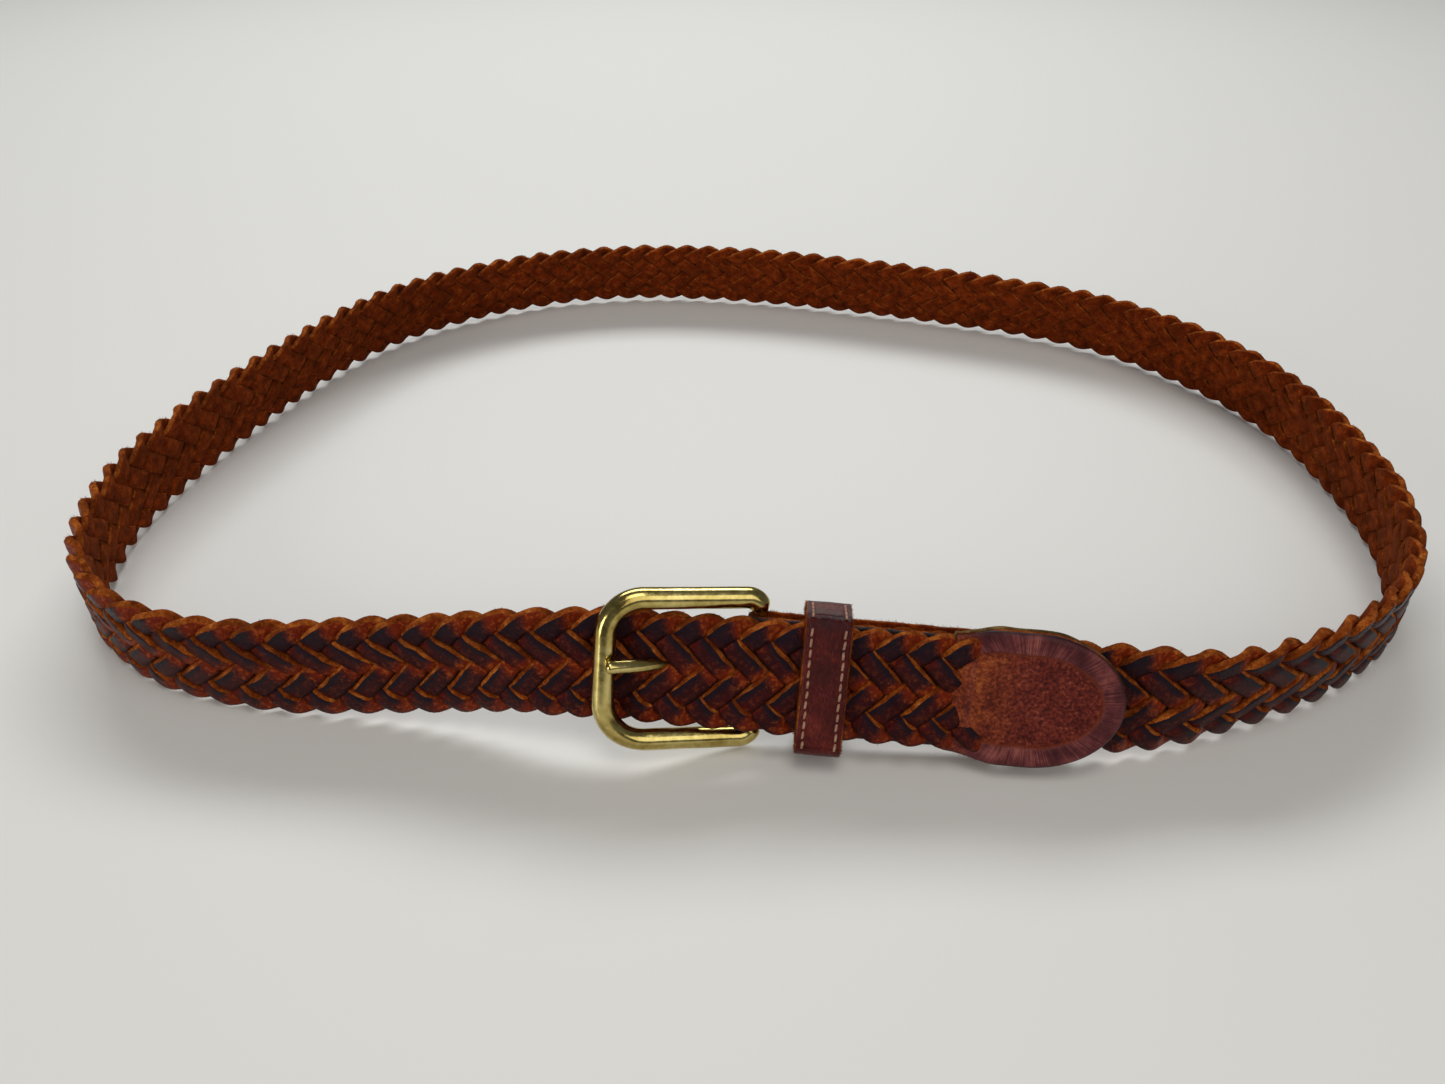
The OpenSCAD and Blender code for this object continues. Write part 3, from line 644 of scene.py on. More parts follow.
def tip_material():
    m, nt, bs = mat("tip_leather_grain")
    ob, uv = coords(nt), coords(nt, "UV")
    rim, red = attr(nt, "rim"), attr(nt, "warm")
    n1 = noise(nt, ob, 190, 5, 0.6)
    n2 = noise(nt, ob, 1150, 5, 0.65)
    vor = nt.nodes.new("ShaderNodeTexVoronoi"); vor.feature = "SMOOTH_F1"
    vor.inputs["Scale"].default_value = 1050; vor.inputs["Smoothness"].default_value = 0.5
    nt.links.new(ob, vor.inputs["Vector"])
    peb = vor.outputs["Distance"]
    # pebbled centre
    pv = math_(nt, "ADD", math_(nt, "MULTIPLY", n2, 0.75), math_(nt, "MULTIPLY", n1, 0.25))
    cen = ramp(nt, pv, [(0.35, (0.026, 0.0026, 0.0020)), (0.46, (0.082, 0.0076, 0.0044)), (0.57, (0.172, 0.0250, 0.0130)), (0.69, (0.290, 0.078, 0.046))])
    warm = ramp(nt, pv, [(0.35, (0.065, 0.0075, 0.0020)), (0.50, (0.205, 0.0330, 0.0060)), (0.66, (0.38, 0.100, 0.021))])
    wf = math_(nt, "MULTIPLY", red, ramp(nt, n1, [(0.30, 0.35), (0.62, 1.0)]), True)
    cen = mix(nt, wf, cen, warm)
    # rim: darker, with fine lines running in from the edge
    st = noise(nt, stretch(nt, uv, 420, 7, 1), 1.0, 4, 0.65)
    rv = math_(nt, "ADD", math_(nt, "MULTIPLY", st, 0.55), math_(nt, "MULTIPLY", n1, 0.45))
    rc = ramp(nt, rv, [(0.34, (0.014, 0.0034, 0.0056)), (0.50, (0.090, 0.0180, 0.0200)), (0.64, (0.270, 0.0780, 0.0620))])
    base = mix(nt, rim, cen, rc)
    # warm line in the groove, dark burnish on the very edge
    base = mix(nt, math_(nt, "MULTIPLY", attr(nt, "groove"), 0.75), base, (0.150, 0.026, 0.0090))
    base = mix(nt, math_(nt, "MULTIPLY", attr(nt, "edge"), 0.85), base, (0.008, 0.004, 0.006))
    nt.links.new(base, bs.inputs["Base Color"])
    r = mix(nt, rim, ramp(nt, n2, [(0.3, 0.44), (0.7, 0.66)]), ramp(nt, st, [(0.3, 0.30), (0.7, 0.50)]))
    nt.links.new(r, bs.inputs["Roughness"])
    bs.inputs["Specular IOR Level"].default_value = 0.14
    inv = math_(nt, "SUBTRACT", 1.0, rim)
    hgt = math_(nt, "MULTIPLY", math_(nt, "ADD", math_(nt, "MULTIPLY", peb, -0.7), math_(nt, "MULTIPLY", n2, 0.9)), inv)
    nb = bump(nt, hgt, 0.9, 0.0006)
    nb = bump(nt, math_(nt, "MULTIPLY", st, rim), 0.42, 0.00016, nb)
    nb = bump(nt, noise(nt, ob, 2400, 3, 0.6), 0.2, 0.00008, nb)
    nt.links.new(nb, bs.inputs["Normal"])
    return m

def thread_material():
    m, nt, bs = mat("waxed_thread")
    ob, uv = coords(nt), coords(nt, "UV")
    w_ = nt.nodes.new("ShaderNodeTexWave"); w_.wave_type = "BANDS"; w_.bands_direction = "DIAGONAL"
    w_.inputs["Scale"].default_value = 95; w_.inputs["Distortion"].default_value = 1.0; w_.inputs["Detail"].default_value = 2
    nt.links.new(uv, w_.inputs["Vector"])
    n1 = noise(nt, ob, 900, 4, 0.6)
    base = ramp(nt, n1, [(0.32, (0.24, 0.105, 0.055)), (0.52, (0.43, 0.225, 0.135)), (0.70, (0.57, 0.35, 0.235))])
    # painted shade: the low bands of the same wave that drives the bump, the grooves of the twist, are darkened
    base = mix(nt, math_(nt, "MULTIPLY", ramp(nt, w_.outputs["Fac"], [(0.2, 1.0), (0.6, 0.0)]), 0.5), base, (0.17, 0.065, 0.035))
    nt.links.new(base, bs.inputs["Base Color"])
    bs.inputs["Roughness"].default_value = 0.6
    nt.links.new(bump(nt, w_.outputs["Fac"], 0.6, 0.00012), bs.inputs["Normal"])
    return m

def steel_material():
    m, nt, bs = mat("bright_steel")
    ob = coords(nt)
    n1 = noise(nt, ob, 1400, 3, 0.6)
    nt.links.new(ramp(nt, n1, [(0.3, (0.36, 0.36, 0.37)), (0.7, (0.56, 0.56, 0.57))]), bs.inputs["Base Color"])
    bs.inputs["Metallic"].default_value = 1.0
    nt.links.new(ramp(nt, n1, [(0.3, 0.24), (0.7, 0.38)]), bs.inputs["Roughness"])
    nt.links.new(bump(nt, n1, 0.15, 0.00005), bs.inputs["Normal"])
    return m

M_BRASS = brass_material()
M_BILLET = smooth_leather("billet_grain", (0.0075, 0.0055, 0.0085), (0.0145, 0.0085, 0.0115), (0.036, 0.0105, 0.0090), 0.30, 0.46, spec=0.25, worn=(0.14, 0.030, 0.007))
M_KEEPER = smooth_leather("keeper_grain", (0.015, 0.0012, 0.0014), (0.058, 0.0030, 0.0022), (0.150, 0.0170, 0.0100), 0.14, 0.30, 120, 0.17, 0.8, worn=(0.15, 0.034, 0.016), su=36, sv=110)
M_SUEDE = raw_material("lining_suede", (0.060, 0.015, 0.0035), (0.17, 0.046, 0.0085), (0.29, 0.098, 0.022))
M_TIPEDGE = raw_material("tip_cut_edge", (0.055, 0.032, 0.012), (0.17, 0.105, 0.036), (0.29, 0.19, 0.075))
M_TIP = tip_material()
M_THREAD = thread_material()
M_STEEL = steel_material()

# ------------------------------------------------------------------ buckle frame
def buckle():
    L, h, rc, rh, tilt = 38.0, 18.1, 9.5, 3.7, math.radians(17.5)
    pts, rad = [], []
    def line(a, b, n, r):
        for i in range(n):
            u = i/n
            pts.append((a[0] + (b[0]-a[0])*u, a[1] + (b[1]-a[1])*u)); rad.append(r)
    def arc(c, r, a0, a1, n, rf):
        for i in range(n):
            a = math.radians(a0 + (a1-a0)*i/n)
            pts.append((c[0] + r*math.cos(a), c[1] + r*math.sin(a))); rad.append(rf((a0 + (a1-a0)*i/n)))
    full, thin = 2.7, 1.66
    def r_top(a): return thin + (full - thin)*float(smooth01((a - 4)/30))
    def r_bot(a): return thin + (full - thin)*float(smooth01((356 - a)/30))
    line((0, 0), (0, h-rh), 22, thin)
    arc((-rh, h-rh), rh, 0, 90, 26, r_top)
    rt, rb_ = 8.8, 11.0
    line((-rh, h), (-L+rt, h), 34, full)
    arc((-L+rt, h-rt), rt, 90, 180, 26, lambda a: full)
    line((-L, h-rt), (-L, -h+rb_), 24, full)
    arc((-L+rb_, -h+rb_), rb_, 180, 270, 26, lambda a: full)
    line((-L+rb_, -h), (-rh, -h), 34, full)
    arc((-rh, -h+rh), rh, 270, 360, 26, r_bot)
    line((0, -h+rh), (0, 0), 22, thin)
    p = np.array(pts); rad = np.array(rad)
    n = len(p)
    # cast and polished by hand: a slight waviness in thickness
    s = np.arange(n)*1.0
    wob = 0.035*vnoise(s, 71, 9)*np.where(rad > 2.2, 1, 0)
    wob[:6] = 0; wob[-6:] = 0
    c, q = math.cos(tilt), math.sin(tilt)
    path = np.stack([p[:, 0]*c, p[:, 0]*q, p[:, 1]], 1)
    side = np.tile(np.array([-q, c, 0.0]), (n, 1))
    ob = sweep("buckle_frame_brass", path, side, circle_sect(28), [M_BRASS], closed=True, ra=(rad+wob)*0.985, rb=rad+wob)
    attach(ob, "frame"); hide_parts("buckle_frame")
buckle()

# ------------------------------------------------------------------ prong
def prong():
    tilt = math.radians(17.5)
    rxp = -38*math.cos(tilt) + (2.7+1.75)*math.sin(tilt)
    ryp = -38*math.sin(tilt) - (2.7+1.75)*math.cos(tilt)
    rr = 1.78 + 0.68
    P, A, B = [], [], []     # centre, half thickness in the plane, half width along the bar
    for a in np.linspace(-172, 96, 34):
        r = math.radians(a)
        P.append((rr*math.cos(r), rr*math.sin(r)))
        u = float(smooth01((a+172)/40))
        A.append(0.45 + 0.21*u); B.append(1.55 + 0.35*u)
    key = [(-2.2, 2.15, 0.80, 1.9), (-4.4, 1.45, 1.15, 1.8), (-7, 0.95, 1.45, 1.7), (-11, 0.75, 1.62, 1.66), (-15, 0.1, 1.66, 1.66),
           (-18, -1.2, 1.66, 1.66), (-21, -3.8, 1.66, 1.66), (-24, -7.3, 1.66, 1.66), (-27, -10.4, 1.66, 1.66), (-30, -12.7, 1.66, 1.66),
           (rxp+2.2, ryp+1.35, 1.62, 1.62), (rxp+0.4, ryp+0.35, 1.6, 1.6), (rxp-1.0, ryp+0.05, 1.58, 1.58)]
    for x, y, a, b in key:
        P.append((x, y)); A.append(a); B.append(b)
    P, A, B = np.array(P), np.array(A), np.array(B)
    # resample smoothly
    L = np.concatenate([[0], np.cumsum(np.linalg.norm(np.diff(P, axis=0), axis=1))])
    s = np.arange(0, L[-1], 0.45)
    def sm(v):
        y = np.interp(s, L, v); k = np.hanning(9); k /= k.sum()
        return np.convolve(np.concatenate([np.repeat(y[:1], 4), y, np.repeat(y[-1:], 4)]), k, "valid")
    x, y, a, b = sm(P[:, 0]), sm(P[:, 1]), sm(A), sm(B)
    # rounded nose
    end = s[-1]
    d = end - s
    nose = np.sqrt(np.clip(1 - ((1.25 - np.minimum(d, 1.25))/1.25)**2, 0.02, 1))
    extra_s = np.array([0.35, 0.15, 0.0])
    a, b = a*nose, b*nose
    d0 = s
    st = np.sqrt(np.clip(1 - ((0.5 - np.minimum(d0, 0.5))/0.5)**2, 0.15, 1))
    a = a*st
    rise = 2.5*smooth01((-x - 12)/22)*(s > 8)
    path = np.stack([x, y, rise], 1)
    side = np.tile(np.array([0, 0, 1.0]), (len(x), 1))
    ob = sweep("buckle_prong_brass", path, side, circle_sect(24), [M_BRASS], ra=b, rb=a)
    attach(ob, "prong"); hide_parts("prong")
prong()

# ------------------------------------------------------------------ billet
def billet():
    t2 = 0.75
    leg = 60.0
    mid = 2.45
    S, X, Y, NX, NY = [], [], [], [], []
    xs = np.concatenate([np.arange(leg, 9.01, -0.9), [9.0], np.arange(8.4, 0.2, -0.7)])
    for x in xs: X.append(x); Y.append(mid); NX.append(0); NY.append(1)
    for a in np.linspace(90, 270, 21):
        r = math.radians(a); X.append(mid*math.cos(r)); Y.append(mid*math.sin(r)); NX.append(math.cos(r)); NY.append(math.sin(r))
    for x in xs[::-1]: X.append(x); Y.append(-mid); NX.append(0); NY.append(-1)
    X, Y, NX, NY = map(np.array, (X, Y, NX, NY))
    n = len(X)
    zc = np.concatenate([[-14.4, -14.22, -13.8, -13.1], np.linspace(-12.2, -3.4, 11), [-2.85, -2.5, -1.2, 0, 1.2, 2.5, 2.85], np.linspace(3.4, 12.2, 11), [13.1, 13.8, 14.22, 14.4]])
    m = len(zc)
    sl = np.concatenate([[0], np.cumsum(np.hypot(np.diff(X), np.diff(Y)))])
    cells = np.ones((n-1, m-1), bool)
    xm = (X[1:] + X[:-1])/2
    zm = (zc[1:] + zc[:-1])/2
    cells[np.ix_(np.where(xm < 9.0)[0], np.where(np.abs(zm) < 2.5)[0])] = False
    rag_hi = 0.10*vnoise(sl, 31, 1.7) + 0.06*vnoise(sl, 32, 0.9) + 0.12*vnoise(sl, 33, 14)
    rag_lo = 0.10*vnoise(sl, 34, 1.7) + 0.06*vnoise(sl, 35, 0.9)
    V = []
    edge = np.ones(m)
    edge[[0, -1]] = 0.62; edge[[1, -2]] = 0.90
    endk = np.ones(n); endk[[0, -1]] = 0.7
    for sgn in (1, -1):
        for i in range(n):
            for j in range(m):
                z = zc[j]
                f = smooth01((abs(z) - 11)/3.8)
                z2 = z + (rag_hi[i] if z > 0 else rag_lo[i])*f
                o = sgn*t2*edge[j]*endk[i]
                wav = 0.07*math.sin(sl[i]*0.11 + 1.3)*(z/15)
                zz = z2 - DROP if abs(z) > 2.9 else z2
                V.append((X[i] + NX[i]*(o + wav*0.3), Y[i] + NY[i]*(o + wav*0.3), zz))
    idx = np.arange(n*m).reshape(n, m); off = n*m
    F, MI = [], []
    for i in range(n-1):
        for j in range(m-1):
            if not cells[i, j]: continue
            F.append([idx[i, j], idx[i, j+1], idx[i+1, j+1], idx[i+1, j]]); MI.append(0)
            F.append([off+idx[i, j], off+idx[i+1, j], off+idx[i+1, j+1], off+idx[i, j+1]]); MI.append(2)
            for (di, dj, a, b) in ((-1, 0, (i, j), (i, j+1)), (1, 0, (i+1, j+1), (i+1, j)), (0, -1, (i+1, j), (i, j)), (0, 1, (i, j+1), (i+1, j+1))):
                ii, jj = i+di, j+dj
                if ii < 0 or jj < 0 or ii >= n-1 or jj >= m-1 or not cells[ii, jj]:
                    F.append([idx[a], off+idx[a], off+idx[b], idx[b]]); MI.append(1)
    uv = np.stack([np.tile(np.repeat(sl*0.01, m), 2), np.tile(np.tile(zc*0.01, n), 2)], 1)
    # unused vertices in the slot
    used = np.unique(np.concatenate([np.array(f) for f in F]))
    remap = -np.ones(2*n*m, int); remap[used] = np.arange(len(used))
    V = np.array(V)[used]; uv = uv[used]
    F = [[remap[q] for q in f] for f in F]
    ob = new_object("billet_leather", g(V), F, [M_BILLET, M_EDGE, M_FLESH], MI, uv)
    outward(ob)
    r = np.random.default_rng(41)
    k = 1500
    i = r.integers(0, n, k)
    top = r.random(k) < 0.75
    off_ = r.uniform(-0.6, 0.6, k)
    base = np.stack([X[i] + NX[i]*off_, Y[i] + NY[i]*off_, np.where(top, 14.32 + rag_hi[i], -14.32 + rag_lo[i]) - DROP], 1)
    base[:, 0] += r.uniform(-0.4, 0.4, k)*(NX[i] == 0)
    dr = np.stack([r.normal(0, 0.35, k), r.normal(0, 0.35, k), np.where(top, 1.0, -1.0)], 1)
    add_fuzz(ob, g(base), dr @ G.T, 0.75, 0.035, 42, 1)
    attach(ob, "root"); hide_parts("billet")
billet()

# ------------------------------------------------------------------ stitches
def stitch_rows(name, items, mats, body, node):
    """items: (centre, along, up, length, width) in the buckle frame; each stitch is a small bowed thread."""
    V, F, UV = [], [], []
    K, M = 9, 10
    for c, al, up, ln, wd in items:
        c, al, up = np.array(c, float), np.array(al, float), np.array(up, float)
        al /= np.linalg.norm(al); up -= (up @ al)*al; up /= np.linalg.norm(up)
        sd = np.cross(al, up)
        base = len(V)
        for i in range(K):
            u = -1 + 2*i/(K-1)
            dip = up*(-0.42*abs(u)**3.2)*wd
            rr = wd/2*math.sqrt(max(0.10, 1 - 0.55*abs(u)**4))
            ctr = c + al*(u*ln/2) + dip
            for j in range(M):
                a = 2*math.pi*j/M
                tw = 1 + 0.10*math.cos(2*a + i*1.35)
                V.append(ctr + (sd*math.cos(a) + up*math.sin(a)*0.85)*rr*tw)
                UV.append((i/(K-1)*ln*0.01, j/M*wd*3.14*0.01))
        for i in range(K-1):
            for j in range(M):
                F.append([base+i*M+j, base+i*M+(j+1) % M, base+(i+1)*M+(j+1) % M, base+(i+1)*M+j])
        F.append([base+j for j in range(M)][::-1]); F.append([base+(K-1)*M+j for j in range(M)])
    ob = new_object(name, g(np.array(V)), F, mats, None, np.array(UV))
    outward(ob)
    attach(ob, body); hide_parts(node)
    return ob

KX0, KW = 10.7, 11.0
KIN_F, KIN_B, KIN_H, KDZ = -8.2, 3.5, 15.8, -0.5
def hoop_path(off, n_arc=12):
    """Rounded rectangle in (y', z') at off outside the keeper's inside, as a closed loop."""
    y0, y1, hh, r = KIN_F - off, KIN_B + off, KIN_H + off, 1.2 + off
    pts = []
    def seg(a, b, n):
        for i in range(n): pts.append((a[0] + (b[0]-a[0])*i/n, a[1] + (b[1]-a[1])*i/n))
    def arc(c, a0, a1):
        for i in range(n_arc):
            a = math.radians(a0 + (a1-a0)*i/n_arc); pts.append((c[0] + r*math.cos(a), c[1] + r*math.sin(a)))
    seg((y0, -hh + r), (y0, hh - r), 46)
    arc((y0 + r, hh - r), 180, 90)
    seg((y0 + r, hh), (y1 - r, hh), 12)
    arc((y1 - r, hh - r), 90, 0)
    seg((y1, hh - r), (y1, -hh + r), 46)
    arc((y1 - r, -hh + r), 0, -90)
    seg((y1 - r, -hh), (y0 + r, -hh), 12)
    arc((y0 + r, -hh + r), -90, -180)
    p = np.array(pts)
    p[:, 1] += KDZ
    # the long faces belly out a little
    bel = 0.30*np.cos(np.clip(p[:, 1]/hh, -1, 1)*math.pi/2)
    p[:, 0] += np.where(p[:, 0] < (y0+y1)/2, -bel, bel*0.6)*np.where(np.abs(p[:, 1]) < hh - r*0.4, 1, 0)
    return p
def keeper_layer(name, off, th, x0, x1, mats, node, seed, outer):
    p = hoop_path(off + th/2)
    n = len(p)
    path = np.stack([np.full(n, (x0+x1)/2), p[:, 0], p[:, 1]], 1)
    side = np.tile(np.array([1.0, 0, 0]), (n, 1))
    w, t = (x1-x0)/2, th/2
    s = np.arange(n)*0.7
    us = [-1, -0.965, -0.90, -0.72, -0.4, 0, 0.4, 0.72, 0.90, 0.965, 1]
    tp = [0.30, 0.86, 1.0, 0.93, 0.99, 1.05, 0.99, 0.93, 1.0, 0.86, 0.30]      # slight channels where the stitches pull
    sect = [(u*w, v*t) for u, v in zip(us, tp)] + [(w, -0.4*t), (w*0.985, -t), (w*0.5, -t), (0, -t), (-w*0.5, -t), (-w*0.985, -t), (-w, -0.4*t)]
    sm_ = [0]*10 + [1]*2 + [2]*4 + [1]*2
    sm_[0] = 1; sm_[9] = 1
    sect = np.array(sect)
    # the third axis must point outwards
    tng = np.roll(path, -1, 0) - np.roll(path, 1, 0); tng /= np.linalg.norm(tng, axis=1)[:, None]
    b = np.cross(tng, side)
    cen = path.mean(0)
    if ((b*(path-cen)).sum(1)).mean() < 0: sect = sect*np.array([1, -1])
    m = len(sect)
    a = side
    V = np.zeros((n, m, 3))
    wv = 0.14*vnoise(s, seed, 7) ; wv[-14:] = wv[-14:]*(1-smooth01(np.arange(14)/13)) + wv[0]*smooth01(np.arange(14)/13)
    for j in range(m):
        edge = abs(abs(sect[j, 0]) - w) < 0.02*w
        rg = (0.07*vnoise(s, seed*50+j, 0.9) + 0.05*vnoise(s, seed*50+20+j, 0.6)) if edge else 0.0
        dents = 0.035*vnoise(s + j*1.3, seed+900, 2.6)
        V[:, j] = path + a*(sect[j, 0] + np.sign(sect[j, 0])*rg + wv)[:, None] + b*(sect[j, 1]*1.0 + dents*np.sign(sect[j, 1]))[:, None]
    faces, mi = ring_faces(n, m, True, sm_)
    along = np.concatenate([[0], np.cumsum(np.linalg.norm(np.diff(path, axis=0), axis=1))])
    per = np.concatenate([[0], np.cumsum(np.linalg.norm(np.diff(sect, axis=0), axis=1))])
    uv = np.stack([np.repeat(along[:, None], m, 1)*0.01, np.repeat(per[None], n, 0)*0.01], -1).reshape(-1, 2)
    ob = new_object(name, g(V.reshape(-1, 3)), faces, mats, mi, uv)
    outward(ob)
    r = np.random.default_rng(seed+5)
    k = 900 if outer else 700
    i = r.integers(0, n, k); sg = np.where(r.random(k) < 0.5, -1.0, 1.0)
    base = path[i] + a[i]*(sg*(w+0.0) + wv[i])[:, None] + b[i]*(r.uniform(-0.9, 0.9, k)*t)[:, None]
    dr = a[i]*sg[:, None] + r.normal(0, 0.5, (k, 3))
    ln = 0.5
    add_fuzz(ob, g(base), dr @ G.T, ln, 0.035, seed+6, 1)
    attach(ob, "root"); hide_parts(node)
    return ob
keeper_layer("keeper_outer_leather", 0.9, 1.3, KX0, KX0+KW, [M_KEEPER, M_EDGE, M_FLESH], "keeper_outer", 61, True)
keeper_layer("keeper_lining_leather", 0.0, 0.9, KX0-0.15, KX0+KW+0.15, [M_SUEDE, M_EDGE, M_SUEDE], "keeper_lining", 63, False)

r_ = np.random.default_rng(77)
items = []
for x in (KX0+1.6, KX0+KW-1.6):
    for k in range(-6, 6):
        z = (k+0.5)*2.6
        y = KIN_F - 2.2 - 0.10 - 0.26*math.cos(z/17*math.pi/2)
        items.append(((x + r_.uniform(-0.08, 0.08), y, z + KDZ), (0.10 + r_.uniform(-0.05, 0.05), 0, 1), (0, -1, 0), 2.05 + r_.uniform(-0.15, 0.15), 0.62))
    # over the top and round the bottom bend
    for sg in (1, -1):
        y_top = KIN_F + 0.2
        for yy in ((y_top, y_top + 2.7, y_top + 5.4, y_top + 8.1) if sg > 0 else (y_top + 1.9, y_top + 4.6, y_top + 7.3)):
            items.append(((x, yy, sg*(KIN_H + 2.2 + 0.06) + KDZ), (0.05, 1, 0), (0, 0, sg), 1.9, 0.6))
stitch_rows("keeper_stitches", items, [M_THREAD], "root", "keeper_stitching")
items = []
for sg in (-1, 1):
    for x in range(26, 57, 4):
        items.append(((x + r_.uniform(-0.1, 0.1), 3.2 + 0.12, sg*12.0 - DROP), (1, 0, 0.06), (0, 1, 0), 2.9, 0.72))
stitch_rows("billet_stitches", items, [M_THREAD], "root", "billet_stitching")

# ------------------------------------------------------------------ staple
def staple():
    xc, y = KX0 + KW/2, 3.5 + 2.2 + 0.42
    P = []
    for t in np.linspace(0, 1, 6): P.append((xc, y - 1.6 + 1.2*t, -4.6))
    for a in np.linspace(90, 0, 6)[1:]:
        P.append((xc, y - 0.4 + 0.4*math.cos(math.radians(a)), -4.6 + 0.4 - 0.4*math.sin(math.radians(a))))
    for t in np.linspace(0, 1, 14)[1:]: P.append((xc, y, -4.2 + 8.4*t))
    for a in np.linspace(0, 90, 6)[1:]:
        P.append((xc, y - 0.4 + 0.4*math.cos(math.radians(a)), 4.2 + 0.4*math.sin(math.radians(a))))
    for t in np.linspace(0, 1, 6)[1:]: P.append((xc, y - 0.4 - 1.2*t, 4.6))
    P = np.array(P)
    P[:, 2] += KDZ
    ob = sweep("keeper_staple_steel", P, np.tile([1.0, 0, 0], (len(P), 1)), circle_sect(12)*np.array([0.46, 0.34]), [M_STEEL])
    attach(ob, "root"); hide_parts("keeper_staple")
staple()

# ------------------------------------------------------------------ tip tab
TX0, TXE, TEND, TW = 46.3, 65.8, 87.8, 17.0
def tip_outline(n=260, grow=0.0):
    """Closed outline as (x', z'), evenly spaced, starting at the tip's far end."""
    pts = []
    for a in np.linspace(0, 90, 60): pts.append((TXE + 22*math.cos(math.radians(a)), TW*math.sin(math.radians(a))))
    for x in np.linspace(TXE, TX0, 40)[1:]:
        u = np.clip((x-TX0)/12, 0, 1); e = u*u*(3-2*u)
        pts.append((x, 15 + (TW-15)*e))
    for z in np.linspace(15, -15, 40)[1:-1]: pts.append((TX0, z))
    for x in np.linspace(TX0, TXE, 40):
        u = np.clip((x-TX0)/12, 0, 1); e = u*u*(3-2*u)
        pts.append((x, -(15 + (TW-15)*e)))
    for a in np.linspace(-90, 0, 60)[1:-1]: pts.append((TXE + 22*math.cos(math.radians(a)), TW*math.sin(math.radians(a))))
    p = np.array(pts)
    q = np.vstack([p, p[:1]])
    L = np.concatenate([[0], np.cumsum(np.linalg.norm(np.diff(q, axis=0), axis=1))])
    s = np.linspace(0, L[-1], n, endpoint=False)
    return np.stack([np.interp(s, L, q[:, 0]), np.interp(s, L, q[:, 1])], 1), s
